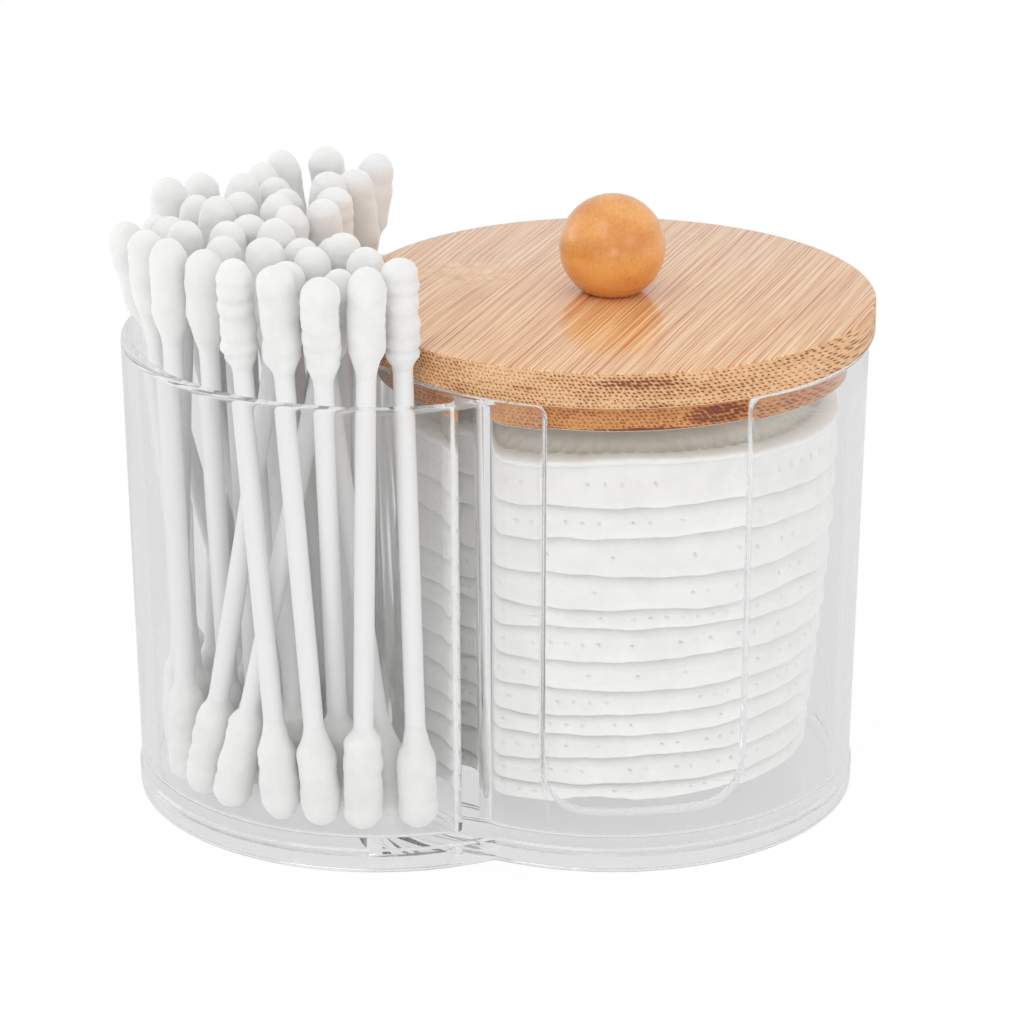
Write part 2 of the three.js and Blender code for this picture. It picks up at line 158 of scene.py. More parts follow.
def grain(
    material: bpy.types.Material, place: Any, stretch: tuple, detail: float, rough: float = 0.5
) -> bpy.types.Node:
    """Adds noise that is drawn out along an axis, for fibres, patches or a slow drift.

    Args:
        material: the material.
        place: where the noise is looked up.
        stretch: its scale along each axis.
        detail: how many finer layers it has.
        rough: how strong the finer layers are.

    Returns:
        The noise node.
    """
    drawn = add_node(material, "Mapping", {"Vector": place, "Scale": stretch})
    return add_node(material, "TexNoise", {
        "Vector": drawn, "Scale": 1.0, "Detail": detail, "Roughness": rough,
    })


def new_material(name: str) -> bpy.types.Material:
    """Makes an empty node material."""
    material = bpy.data.materials.new(name)
    material.use_nodes = True
    material.node_tree.nodes.clear()
    return material


def surface(material: bpy.types.Material, shader: bpy.types.Node) -> bpy.types.Material:
    """Links a shader to the material's output, and gives the material back."""
    add_node(material, "OutputMaterial", {"Surface": shader})
    return material


# Mesh helpers


def deselect_all() -> None:
    """Leaves nothing selected, so that an operator acts on one piece alone."""
    for obj in bpy.context.view_layer.objects:
        obj.select_set(False)
    bpy.context.view_layer.objects.active = None


def activate(obj: bpy.types.Object) -> None:
    """Selects one object alone and makes it active."""
    deselect_all()
    obj.select_set(True)
    bpy.context.view_layer.objects.active = obj


def new_object(name: str, mesh: bpy.types.Mesh) -> bpy.types.Object:
    """Links a new object for a mesh."""
    obj = bpy.data.objects.new(name, mesh)
    bpy.context.scene.collection.objects.link(obj)
    return obj


def apply_modifier(obj: bpy.types.Object, kind: str, **settings: Any) -> None:
    """Adds a modifier with its settings and applies it.

    Args:
        obj: the object to finish.
        kind: the modifier's type name.
        settings: its properties.
    """
    activate(obj)
    modifier = obj.modifiers.new(kind.title(), kind)
    for name, value in settings.items():
        setattr(modifier, name, value)
    bpy.ops.object.modifier_apply(modifier=modifier.name)


def arc(centre: tuple[float, float], radius: float, start: float, end: float, steps: int) -> list:
    """Points of an arc, both ends included.

    Args:
        centre: its centre.
        radius: its radius.
        start: first angle in degrees.
        end: last angle in degrees.
        steps: the number of segments.

    Returns:
        A list of points.
    """
    angles = [math.radians(start + (end - start) * i / steps) for i in range(steps + 1)]
    return [(centre[0] + radius * math.cos(a), centre[1] + radius * math.sin(a)) for a in angles]


def turned(
    name: str, profile: Sequence[tuple[float, float]], steps: int, axis_x: float = 0.0
) -> bpy.types.Object:
    """Spins a profile about a vertical axis, as on a lathe.

    Args:
        name: the object's name.
        profile: radius and height of each point, in mm, from pole to pole or as a ring.
        steps: segments round the axis.
        axis_x: place of the axis on X, in mm.

    Returns:
        A closed object with its normals outwards.
    """
    mesh = bpy.data.meshes.new(name)
    points = [((axis_x + r) * MM, 0.0, z * MM) for r, z in profile]
    closed = profile[0][0] > 0
    edges = [(i, i + 1) for i in range(len(points) - 1)]
    edges += [(len(points) - 1, 0)] if closed else []
    mesh.from_pydata(points, edges, [])
    obj = new_object(name, mesh)
    activate(obj)
    bpy.ops.object.mode_set(mode="EDIT")
    bpy.ops.mesh.select_all(action="SELECT")
    bpy.ops.mesh.spin(steps=steps, angle=2 * math.pi, center=(axis_x * MM, 0, 0), axis=(0, 0, 1))
    bpy.ops.mesh.select_all(action="SELECT")
    bpy.ops.mesh.remove_doubles(threshold=0.001 * MM)
    bpy.ops.object.mode_set(mode="OBJECT")
    face_outwards(obj)
    return obj


def face_outwards(obj: bpy.types.Object) -> None:
    """Turns the normals of a closed mesh outwards."""
    activate(obj)
    bpy.ops.object.mode_set(mode="EDIT")
    bpy.ops.mesh.select_all(action="SELECT")
    bpy.ops.mesh.normals_make_consistent(inside=False)
    bpy.ops.object.mode_set(mode="OBJECT")


def coordinates(obj: bpy.types.Object) -> np.ndarray:
    """Reads the vertices of an object's mesh as rows, in metres."""
    flat = np.empty(len(obj.data.vertices) * 3)
    obj.data.vertices.foreach_get("co", flat)
    return flat.reshape(-1, 3)


def move_vertices(obj: bpy.types.Object, places: np.ndarray) -> None:
    """Writes the vertices of an object's mesh."""
    obj.data.vertices.foreach_set("co", np.ascontiguousarray(places).ravel())
    obj.data.update()


def select_edges(obj: bpy.types.Object, wanted: Callable[[Sequence[Vector]], bool]) -> None:
    """Selects the edges of a mesh that pass a test of their two ends.

    Args:
        obj: the object, in object mode.
        wanted: takes the places of an edge's ends and says whether it is selected.
    """
    mesh = obj.data
    bpy.context.tool_settings.mesh_select_mode = (False, True, False)
    mesh.vertices.foreach_set("select", [False] * len(mesh.vertices))
    mesh.polygons.foreach_set("select", [False] * len(mesh.polygons))
    places = [vert.co for vert in mesh.vertices]
    chosen = [wanted([places[i] for i in edge.vertices]) for edge in mesh.edges]
    mesh.edges.foreach_set("select", chosen)
    mesh.update()


def smooth(obj: bpy.types.Object, degrees: float = 40.0) -> None:
    """Shades a piece smooth, but for edges that are sharper than the angle."""
    activate(obj)
    bpy.ops.object.shade_smooth_by_angle(angle=math.radians(degrees))


def dress(obj: bpy.types.Object, body: Body, slot: str, nodes: Sequence[str], *finishes: Any) -> None:
    """Gives a finished piece its materials and body, and hides the CAD nodes that it stands for.

    Args:
        obj: the piece.
        body: the body that it rides on.
        slot: the record's material slot; not used.
        nodes: the CAD nodes that it stands for.
        finishes: its materials.
    """
    obj.data.materials.clear()
    for finish in finishes:
        obj.data.materials.append(finish)
    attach(obj, body.value)
    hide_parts(*nodes)
    log.info("%s: %d faces on %s", obj.name, len(obj.data.polygons), body.value)


# Finishes


@dataclass(frozen=True)
class ClearStyrene:
    """Moulded crystal polystyrene: water clear and glossy, greyer where it is seen edge on."""

    facing_tint: str = "FCFCFC"
    edge_tint: str = "F2F2F2"
    ior: float = 1.5
    roughness: float = 0.015
    shadow_tint: str = "FFFFFF"
    deepest_path: float = 4.0

    def material(self) -> bpy.types.Material:
        """Builds the material. Lamps shine through, as they do through thin clear walls."""
        mat = new_material("clear_styrene_moulded")
        # A slanting look goes through more of the wall, so it takes more of the plastic's grey
        slant = add_node(mat, "LayerWeight", {"Blend": 0.5})
        tint = fill_ramp(add_node(mat, "ValToRGB", {0: slant.outputs["Facing"]}), [
            (0.2, self.facing_tint), (0.85, self.edge_tint),
        ])
        glass = add_node(mat, "BsdfPrincipled", {
            "Base Color": tint, "Roughness": self.roughness, "IOR": self.ior, "Transmission Weight": 1.0,
        })
        clear = add_node(mat, "BsdfTransparent", {"Color": linear(self.shadow_tint)})
        path = add_node(mat, "LightPath")
        lit = add_node(mat, "Math", {
            0: path.outputs["Is Shadow Ray"], 1: path.outputs["Is Diffuse Ray"],
        }, operation="MAXIMUM")
        # Light that is caught in the thick corners still gets out in the real moulding
        caught = add_node(mat, "Math", {
            0: path.outputs["Ray Depth"], 1: self.deepest_path,
        }, operation="GREATER_THAN")
        passing = add_node(mat, "Math", {0: lit, 1: caught}, operation="MAXIMUM")
        mix = add_node(mat, "MixShader", {0: passing, 1: glass, 2: clear})
        return surface(mat, mix)


class Cut(Enum):
    """How a face of a bamboo board cuts its fibres."""

    ALONG = "along"
    ACROSS = "across"


@dataclass(frozen=True)
class Scorch:
    """A browned patch on a board's edge: its place, half size and strength."""

    angle: float
    height: float
    half_width: float
    half_height: float
    strength: float


@dataclass(frozen=True)
class BambooBoard:
    """Laminated bamboo under clear varnish: fine straight streaks, and dark dots at the edge."""

    radius: float = 33.5
    axis_x: float = PAD_AXIS
    fibre_turn: float = 70.0
    name: str = "bamboo_varnished"
    pale: str = "F8D3A4"
    mid: str = "E9B67E"
    dark: str = "CF945A"
    streak: str = "C46416"
    edge_pale: str = "E6BA8A"
    edge_mid: str = "CF9660"
    dot: str = "7E3A08"
    scorched: str = "7A3006"
    streak_pitch: float = 0.66
    dot_pitch: float = 0.58
    row_pitch: float = 0.46
    knot_place: tuple[float, float, float] = (1.0, 20.0, 66.4)
    knot_radius: float = 8.5
    knot_core: float = 2.0
    knot_whirl: float = 0.8
    fibre_drift: float = 1.2
    coat: float = 1.0
    coat_roughness: float = 0.16
    edge_coat: float = 0.25
    edge_coat_roughness: float = 0.3
    coat_ior: float = 1.75
    scorches: tuple[Scorch, ...] = ()

    def streaks(self, mat: bpy.types.Material, coord: bpy.types.NodeSocket) -> tuple[Any, Any]:
        """Faces that follow the fibres: long fine streaks, broken up round a knot.

        Args:
            mat: the material.
            coord: the object's own coordinates.

        Returns:
            The colour and the height for the bump.
        """
        turn = math.radians(self.fibre_turn)
        place = add_node(mat, "Mapping", {
            "Vector": coord, "Rotation": (0, 0, -turn), "Scale": (1 / MM,) * 3,
            "Location": (-self.axis_x * math.cos(turn), self.axis_x * math.sin(turn), 0),
        })
        # The knot: fibres part round it, with paler and redder blotches
        knot = add_node(mat, "VectorMath", {0: place, 1: self.knot_place}, operation="DISTANCE")
        near_knot = add_node(mat, "MapRange", {
            "Value": knot.outputs["Value"], "From Min": self.knot_radius, "From Max": self.knot_core,
        }, interpolation_type="SMOOTHSTEP")
        bent = add_node(mat, "Math", {0: near_knot, 1: self.knot_whirl}, operation="MULTIPLY")
        whirl = add_node(mat, "TexNoise", {"Vector": place, "Scale": 0.3, "Detail": 3.0, "Roughness": 0.6})
        split = add_node(mat, "SeparateXYZ", {0: place})
        # Slow drift of the fibres sideways, about 0.5 mm over 30 mm of length
        drifted = add_node(mat, "Math", {
            0: grain(mat, place, (0.03, 0.2, 0.2), 2.0), 1: self.fibre_drift, 2: split.outputs["Y"],
        }, operation="MULTIPLY_ADD")
        side = add_node(mat, "Math", {0: whirl, 1: bent, 2: drifted}, operation="MULTIPLY_ADD")
        flow = add_node(mat, "CombineXYZ", {0: split.outputs["X"], 1: side, 2: split.outputs["Z"]})
        # Fibre bundles cut lengthwise: lines 0.3 to 0.6 mm wide that fade in and out
        line_at = add_node(mat, "Math", {0: side, 1: self.streak_pitch}, operation="DIVIDE")
        lines = add_node(mat, "TexVoronoi", {
            "W": line_at, "Scale": 1.0, "Randomness": 0.9,
        }, voronoi_dimensions="1D")
        line = add_node(mat, "MapRange", {
            "Value": lines, "From Min": 0.24, "From Max": 0.06,
        }, interpolation_type="SMOOTHSTEP")
        faded = add_node(mat, "MapRange", {
            "Value": grain(mat, flow, (0.05, 0.9, 0.9), 3.0, 0.65), "From Min": 0.36, "From Max": 0.62,
        })
        off_knot = add_node(mat, "Math", {0: near_knot, 1: -0.75, 2: 1.0}, operation="MULTIPLY_ADD")
        strength = add_node(mat, "Math", {0: faded, 1: off_knot}, operation="MULTIPLY")
        streak = add_node(mat, "Math", {0: line, 1: strength}, operation="MULTIPLY")
        strands = grain(mat, flow, (0.035, 4.2, 4.2), 3.0, 0.75)
        blotched = add_node(mat, "Math", {0: near_knot, 1: 0.6}, operation="MULTIPLY")
        blotch = add_node(mat, "TexNoise", {"Vector": place, "Scale": 0.55, "Detail": 3.0, "Roughness": 0.6})
        tone = add_node(mat, "Mix", {0: blotched, 2: strands, 3: blotch}, data_type="FLOAT")
        base = fill_ramp(add_node(mat, "ValToRGB", {0: tone}), [
            (0.37, self.dark), (0.5, self.mid), (0.61, self.pale),
        ])
        colour = add_node(mat, "Mix", {0: streak, 6: base, 7: linear(self.streak)}, data_type="RGBA")
        height = add_node(mat, "Math", {0: strands, 1: streak}, operation="SUBTRACT")
        return colour.outputs[2], height

    def browned(self, mat: bpy.types.Material, split: bpy.types.Node) -> Any:
        """Adds up the scorches of the edge.

        Args:
            mat: the material.
            split: the node with the place's X, Y and Z, in mm from the board's axis.

        Returns:
            How brown each place is.
        """
        front = add_node(mat, "Math", {0: split.outputs["Y"], 1: -1.0}, operation="MULTIPLY")
        angle = add_node(mat, "Math", {0: split.outputs["X"], 1: front}, operation="ARCTAN2")
        browned: Any = 0.0
        for scorch in self.scorches:
            start = math.radians(scorch.angle)
            across = add_node(mat, "MapRange", {
                "Value": angle, "From Min": start, "From Max": start + scorch.half_width / self.radius,
            }, clamp=False)
            upwards = add_node(mat, "MapRange", {
                "Value": split.outputs["Z"],
                "From Min": scorch.height, "From Max": scorch.height + scorch.half_height,
            }, clamp=False)
            spot = add_node(mat, "CombineXYZ", {0: across, 1: upwards})
            reach = add_node(mat, "VectorMath", {0: spot}, operation="LENGTH")
            inside = add_node(mat, "MapRange", {
                "Value": reach.outputs["Value"], "From Min": 1.0, "From Max": 0.45, "To Max": scorch.strength,
            }, interpolation_type="SMOOTHSTEP")
            browned = add_node(mat, "Math", {0: inside, 1: browned}, operation="ADD")
        return browned

    def dots(self, mat: bpy.types.Material, coord: bpy.types.NodeSocket) -> tuple[Any, Any]:
        """The edge: staggered rows of fibre ends, browned in places by the saw.

        Args:
            mat: the material.
            coord: the object's own coordinates.

        Returns:
            The colour and the height for the bump.
        """
        place = add_node(mat, "Mapping", {
            "Vector": coord, "Location": (-self.axis_x, 0, 0), "Scale": (1 / MM,) * 3,
        })
        split = add_node(mat, "SeparateXYZ", {0: place})
        # Columns are counted across the fibres, so the ends stretch to streaks at the sides
        turn = math.radians(self.fibre_turn)
        column = add_node(mat, "VectorMath", {
            0: place, 1: (math.sin(turn) / self.dot_pitch, -math.cos(turn) / self.dot_pitch, 0),
        }, operation="DOT_PRODUCT").outputs["Value"]
        # Each row of ends is half a pitch off the last
        row = add_node(mat, "Math", {0: split.outputs["Z"], 1: self.row_pitch}, operation="DIVIDE")
        stagger = add_node(mat, "Math", {0: row, 1: 0.5, 2: column}, operation="MULTIPLY_ADD")
        lattice = add_node(mat, "CombineXYZ", {0: stagger, 1: row})
        cells = add_node(mat, "TexVoronoi", {
            "Vector": lattice, "Scale": 1.0, "Randomness": 0.42,
        }, voronoi_dimensions="2D")
        sheet = add_node(mat, "CombineXYZ", {0: column, 1: split.outputs["Z"]})
        patch = grain(mat, sheet, (0.09, 0.3, 1.0), 3.0, 0.6)
        browned = self.browned(mat, split)
        smeared = add_node(mat, "MapRange", {
            "Value": grain(mat, sheet, (0.35, 2.8, 1.0), 3.0, 0.6), "From Min": 0.42, "From Max": 0.68,
        })
        scorched = add_node(mat, "Math", {0: smeared, 1: browned}, operation="MULTIPLY")
        dot_size = add_node(mat, "MapRange", {
            "Value": patch, "From Min": 0.36, "From Max": 0.66, "To Min": 0.17, "To Max": 0.33,
        })
        larger = add_node(mat, "Math", {0: browned, 1: 0.2, 2: dot_size}, operation="MULTIPLY_ADD")
        dot_gap = add_node(mat, "Math", {0: cells, 1: larger}, operation="SUBTRACT")
        dot = add_node(mat, "MapRange", {"Value": dot_gap, "From Min": 0.09, "From Max": -0.1})
        specks = add_node(mat, "TexNoise", {"Vector": sheet, "Scale": 1.6, "Detail": 4.0, "Roughness": 0.65})
        tone = add_node(mat, "Math", {0: patch, 1: -0.5, 2: specks}, operation="MULTIPLY_ADD")
        base = fill_ramp(add_node(mat, "ValToRGB", {0: tone}), [(0.1, self.edge_mid), (0.36, self.edge_pale)])
        dotted = add_node(mat, "Mix", {0: dot, 6: base, 7: linear(self.dot)}, data_type="RGBA")
        colour = add_node(mat, "Mix", {
            0: scorched, 6: dotted.outputs[2], 7: linear(self.scorched),
        }, data_type="RGBA")
        height = add_node(mat, "Math", {0: dot, 1: -1.0}, operation="MULTIPLY")
        return colour.outputs[2], height

    def material(self, cut: Cut) -> bpy.types.Material:
        """Builds the material for the faces or for the edge.

        Args:
            cut: how the faces that wear it cut the fibres.

        Returns:
            The material.
        """
        mat = new_material(f"{self.name}_{cut.value}_fibres")
        make = self.streaks if cut is Cut.ALONG else self.dots
        colour, height = make(mat, add_node(mat, "TexCoord").outputs["Object"])
        bump = add_node(mat, "Bump", {"Strength": 0.25, "Distance": 0.05 * MM, "Height": height})
        # The end grain of the edge soaks the varnish up, so less of it stays on top
        coat, dull = self.coat, self.coat_roughness
        if cut is Cut.ACROSS:
            coat, dull = self.edge_coat * self.coat, self.edge_coat_roughness
        wood = add_node(mat, "BsdfPrincipled", {
            "Base Color": colour, "Roughness": 0.55, "Normal": bump,
            "Coat Weight": coat, "Coat Roughness": dull, "Coat IOR": self.coat_ior,
        })
        return surface(mat, wood)


@dataclass(frozen=True)
class VarnishedBall:
    """Turned beech stained orange under gloss varnish: fine flecks, broad soft highlights."""

    pale: str = "EFA854"
    deep: str = "D9862C"
    fleck: float = 0.35
    coat_roughness: float = 0.2
    coat_ior: float = 1.6

    def material(self) -> bpy.types.Material:
        """Builds the material."""
        mat = new_material("beech_turned_orange_varnish")
        coord = add_node(mat, "TexCoord").outputs["Object"]
        place = add_node(mat, "Mapping", {
            "Vector": coord, "Rotation": (0.5, 0.2, 0.4),
            "Scale": (1 / MM / self.fleck, 0.18 / MM / self.fleck, 1 / MM / self.fleck),
        })
        flecks = add_node(mat, "TexNoise", {"Vector": place, "Scale": 1.0, "Detail": 3.0, "Roughness": 0.6})
        tone = add_node(mat, "Math", {
            0: flecks, 1: 0.6, 2: grain(mat, coord, (0.12 / MM, 0.12 / MM, 0.3 / MM), 2.0),
        }, operation="MULTIPLY_ADD")
        colour = fill_ramp(add_node(mat, "ValToRGB", {0: tone}), [(0.62, self.deep), (0.98, self.pale)])
        wood = add_node(mat, "BsdfPrincipled", {
            "Base Color": colour, "Roughness": 0.5, "Coat Weight": 1.0,
            "Coat Roughness": self.coat_roughness, "Coat IOR": self.coat_ior,
        })
        return surface(mat, wood)


@dataclass(frozen=True)
class ZincScrew:
    """Zinc plated steel, tumbled: grey metal with a fine mottle."""

    colour: str = "C9CACB"

    def material(self) -> bpy.types.Material:
        """Builds the material."""
        mat = new_material("steel_zinc_plated")
        coord = add_node(mat, "TexCoord").outputs["Object"]
        mottle = add_node(mat, "TexNoise", {"Vector": coord, "Scale": 2.0 / MM, "Detail": 2.0})
        rough = add_node(mat, "MapRange", {"Value": mottle, "To Min": 0.22, "To Max": 0.42})
        metal = add_node(mat, "BsdfPrincipled", {
            "Base Color": linear(self.colour), "Metallic": 1.0, "Roughness": rough,
        })
        return surface(mat, metal)


@dataclass(frozen=True)
class PressedCotton:
    """Cotton wool under a thin pressed skin: matt, off white, with a fibrous mottle.

    Light passes a little way into it, which keeps its folds and shadows soft.
    """

    name: str = "cotton_pressed"
    pale: str = "E9E9E8"
    shade: str = "E3E3E2"
    fibre: float = 0.35
    bump: float = 0.5
    sheen: float = 0.35
    let_in: float = 0.6
    let_in_depth: float = 2.5

    def material(self) -> bpy.types.Material:
        """Builds the material. Real fibres are 0.015 mm, too fine to show, so they are coarser."""
        mat = new_material(self.name)
        coord = add_node(mat, "TexCoord").outputs["Object"]
        fibres = add_node(mat, "TexNoise", {
            "Vector": coord, "Scale": 1 / MM / self.fibre,
            "Detail": 4.0, "Roughness": 0.65, "Distortion": 0.8,
        })
        clouds = add_node(mat, "TexNoise", {"Vector": coord, "Scale": 0.28 / MM, "Detail": 3.0})
        tone = add_node(mat, "Math", {0: fibres, 1: 0.4, 2: clouds}, operation="MULTIPLY_ADD")
        colour = fill_ramp(add_node(mat, "ValToRGB", {0: tone}), [(0.5, self.shade), (0.85, self.pale)])
        bump = add_node(mat, "Bump", {"Strength": self.bump, "Distance": 0.12 * MM, "Height": fibres})
        cotton = add_node(mat, "BsdfPrincipled", {
            "Base Color": colour, "Roughness": 0.95, "Specular IOR Level": 0.2, "Normal": bump,
            "Sheen Weight": self.sheen, "Sheen Roughness": 0.6, "Subsurface Weight": self.let_in,
            "Subsurface Radius": (1.0, 1.0, 1.0), "Subsurface Scale": self.let_in_depth * MM,
        })
        return surface(mat, cotton)


@dataclass(frozen=True)
class RolledPaper:
    """The stick: white paper rolled tight, smooth, with faint lengthwise lines."""

    colour: str = "E8E8E8"

    def material(self) -> bpy.types.Material:
        """Builds the material."""
        mat = new_material("paper_rolled_white")
        coord = add_node(mat, "TexCoord").outputs["Object"]
        lines = grain(mat, coord, (4 / MM, 4 / MM, 0.15 / MM), 2.0)
        bump = add_node(mat, "Bump", {"Strength": 0.2, "Distance": 0.03 * MM, "Height": lines})
        paper = add_node(mat, "BsdfPrincipled", {
            "Base Color": linear(self.colour), "Roughness": 0.6, "Normal": bump,
        })
        return surface(mat, paper)


# The holder


@dataclass
class ClearHolder:
    """One moulding: the pad cup with its slot, and the crescent of the swab cup."""

    cup_radius: float = 32.8
    spacing: float = 29.7
    wall: float = 2.0
    rim: float = 61.5
    draft: float = 1.0
    floor_top: float = 4.0
    foot: float = 2.0
    skirt: float = 3.3
    skirt_step: float = 0.3
    foot_round: float = 0.4
    recess_round: float = 0.3
    rim_round: float = 0.6
    floor_fillet: float = 0.8
    horn_fillet: float = 2.4
    valley_fillet: float = 1.6
    slot_width: float = 24.8
    slot_sill: float = 8.2
    slot_corner: float = 5.3
    slot_flare: float = 1.5
    slot_round: float = 0.5
    slot_straight: float = 2.5
    slot_blend: float = 9.0
    slot_turn: float = 7.3
    web_drop: float = 0.35
    sides: int = 192
    shift: float = 0.0
    finish: ClearStyrene = field(default_factory=ClearStyrene)

    def outer(self, height: float) -> float:
        """Outer radius of a cup at a height, with the draft of the mould."""
        return self.cup_radius - self.draft * (1 - height / self.rim)

    def inner(self, height: float) -> float:
        """Inner radius of a cup at a height."""
        return self.outer(height) - self.wall

    def foot_profile(self) -> list[tuple[float, float]]:
        """Radius and height from the skirt's top, round the foot, to the underside's middle."""
        skirt_radius = self.outer(self.skirt) + self.skirt_step
        foot_radius = self.outer(0) + self.skirt_step
        recess = foot_radius - self.wall
        foot, inside = self.foot_round, self.recess_round
        return [
            (skirt_radius, self.skirt - self.skirt_step),
            *arc((foot_radius - foot, foot), foot, 0, -90, 3),
            *arc((recess + inside, inside), inside, -90, -180, 3),
            (recess, self.foot - inside), (recess - inside, self.foot), (0.0, self.foot),
        ]

    def floor_profile(self) -> list[tuple[float, float]]:
        """Radius and height from the inner wall down the fillet to the floor's middle."""
        fillet = self.floor_fillet
        centre = (self.inner(self.floor_top) - fillet, self.floor_top + fillet)
        return [*arc(centre, fillet, 0, -90, 5)[1:], (0.0, self.floor_top)]

    def wall_outline(self) -> list[tuple[float, float]]:
        """The pad cup's wall laid flat: arc length and height, with the slot cut from the rim."""
        half_length = math.pi * self.cup_radius
        half = self.cup_radius * math.asin(self.slot_width / 2 / self.cup_radius)
        corner, flare = self.slot_corner, self.slot_flare
        low = self.slot_sill + corner
        return [
            (-half_length, self.skirt),
            (half_length, self.skirt),
            (half_length, self.rim),
            *arc((half + flare, self.rim - flare), flare, 90, 180, 6),
            *arc((half - corner, low), corner, 0, -90, 14),
            *arc((corner - half, low), corner, -90, -180, 14),
            *arc((-half - flare, self.rim - flare), flare, 0, 90, 6),
            (-half_length, self.rim),
        ]

    def flat_wall(self) -> bpy.types.Object:
        """Cuts the wall from a flat sheet, rounds its free edges and scores it for the bend."""
        outline = self.wall_outline()
        mesh = bpy.data.meshes.new("pad_cup_wall")
        mesh.from_pydata([(u, 0.0, z) for u, z in outline], [], [list(range(len(outline)))])
        obj = new_object("pad_cup_wall", mesh)
        activate(obj)
        bpy.ops.object.mode_set(mode="EDIT")
        bpy.ops.mesh.select_all(action="SELECT")
        bpy.ops.mesh.extrude_region_move(TRANSFORM_OT_translate={"value": (0, self.wall, 0)})
        bpy.ops.object.mode_set(mode="OBJECT")
        face_outwards(obj)
        end = math.pi * self.cup_radius - HAIR
        free = self.skirt + HAIR

        def is_free(places: Sequence[Vector]) -> bool:
            """True for an edge of the rim or the slot, on either face of the wall."""
            along_face = abs(places[0].y - places[1].y) < HAIR
            at_end = all(abs(p.x) > end for p in places)
            return along_face and not at_end and max(p.z for p in places) > free

        select_edges(obj, is_free)
        bpy.ops.object.mode_set(mode="EDIT")
        bpy.ops.mesh.bevel(offset=self.slot_round, segments=4, affect="EDGES", clamp_overlap=False)
        bpy.ops.object.mode_set(mode="OBJECT")
        inner_low = self.floor_top + self.floor_fillet
        work = bmesh.new()
        work.from_mesh(mesh)
        for vert in work.verts:
            if vert.co.z < free and vert.co.y > self.wall / 2:
                vert.co.z = inner_low
        ends = [f for f in work.faces if all(abs(v.co.x) > end for v in f.verts)]
        under = [f for f in work.faces if all(v.co.z < inner_low + HAIR for v in f.verts)]
        bmesh.ops.delete(work, geom=list({*ends, *under}), context="FACES")
        length = 2 * math.pi * self.cup_radius
        for step in range(1, self.sides):
            u = length * (step / self.sides - 0.5)
            geometry = [*work.verts, *work.edges, *work.faces]
            bmesh.ops.bisect_plane(work, geom=geometry, dist=1e-4, plane_co=(u, 0, 0), plane_no=(1, 0, 0))
        work.to_mesh(mesh)
        work.free()
        return obj

    def bent_angle(self, u: float, radius: float, height: float) -> float:
        """Angle round the cup of a point of the flat wall.

        Near the slot the faces stay parallel, as the mould draws them out of the front.

        Args:
            u: arc length from the slot's middle.
            radius: radius of the point in the cup.
            height: its height.

        Returns:
            The angle from the slot's middle, in radians.
        """
        plain = u / self.cup_radius
        half = self.slot_width / 2
        near = 1 - min(max((abs(u) - half - self.slot_straight) / self.slot_blend, 0.0), 1.0)
        raised = min(max((height - self.floor_top - 1) / (self.slot_sill - self.floor_top - 2), 0.0), 1.0)
        weight = near * raised
        if weight <= 0:
            return plain
        lateral = self.cup_radius * math.sin(plain)
        return plain + weight * (math.asin(lateral / radius) - plain)

    def pad_cup(self) -> bpy.types.Object:
        """Bends the wall round and draws the foot and the floor from its lower edges."""
        obj = self.flat_wall()
        turn = math.radians(self.slot_turn) - math.pi / 2
        axis = self.spacing / 2
        work = bmesh.new()
        work.from_mesh(obj.data)
        for vert in work.verts:
            u, depth, z = vert.co
            radius = self.outer(z) - depth
            angle = self.bent_angle(u, radius, z) + turn
            vert.co = (axis + radius * math.cos(angle), radius * math.sin(angle), z)
        bmesh.ops.remove_doubles(work, verts=work.verts, dist=1e-3)
        loose = [e for e in work.edges if e.is_boundary]
        split = (self.skirt + self.floor_top + self.floor_fillet) / 2
        loops = (
            ([e for e in loose if e.verts[0].co.z < split], self.foot_profile()),
            ([e for e in loose if e.verts[0].co.z >= split], self.floor_profile()),
        )
        for edges, profile in loops:
            for radius, height in profile:
                made = bmesh.ops.extrude_edge_only(work, edges=edges)["geom"]
                edges = [g for g in made if isinstance(g, bmesh.types.BMEdge)]
                for vert in {v for e in edges for v in e.verts}:
                    out = Vector((vert.co.x - axis, vert.co.y, 0)).normalized() * radius
                    vert.co = (axis + out.x, out.y, height)
        bmesh.ops.remove_doubles(work, verts=work.verts, dist=1e-3)
        bmesh.ops.recalc_face_normals(work, faces=work.faces)
        bmesh.ops.scale(work, vec=(MM, MM, MM), verts=work.verts)
        work.to_mesh(obj.data)
        work.free()
        return obj

    def cup_shell(self) -> bpy.types.Object:
        """Turns the whole swab cup, with a rounded rim."""
        tip = self.rim - self.rim_round
        profile = [
            (self.outer(self.skirt), self.skirt),
            *arc((self.outer(self.rim) - self.rim_round, tip), self.rim_round, 0, 90, 5),
            *arc((self.inner(self.rim) + self.rim_round, tip), self.rim_round, 90, 180, 5),
        ]
        inside = [(self.inner(self.floor_top + self.floor_fillet), self.floor_top + self.floor_fillet)]
        whole = [*self.foot_profile()[::-1], *profile, *inside, *self.floor_profile()]
        return turned("swab_cup", whole, self.sides, -self.spacing / 2)

    def mid_wall_plug(self) -> bpy.types.Object:
        """A drafted plug that fills the pad cup to the middle of its wall."""
        low, high = -1.0, self.rim + 1.0
        inset = self.wall / 2
        profile = [(0.0, low), (self.outer(low) - inset, low), (self.outer(high) - inset, high), (0.0, high)]
        return turned("pad_room", profile, self.sides, self.spacing / 2)

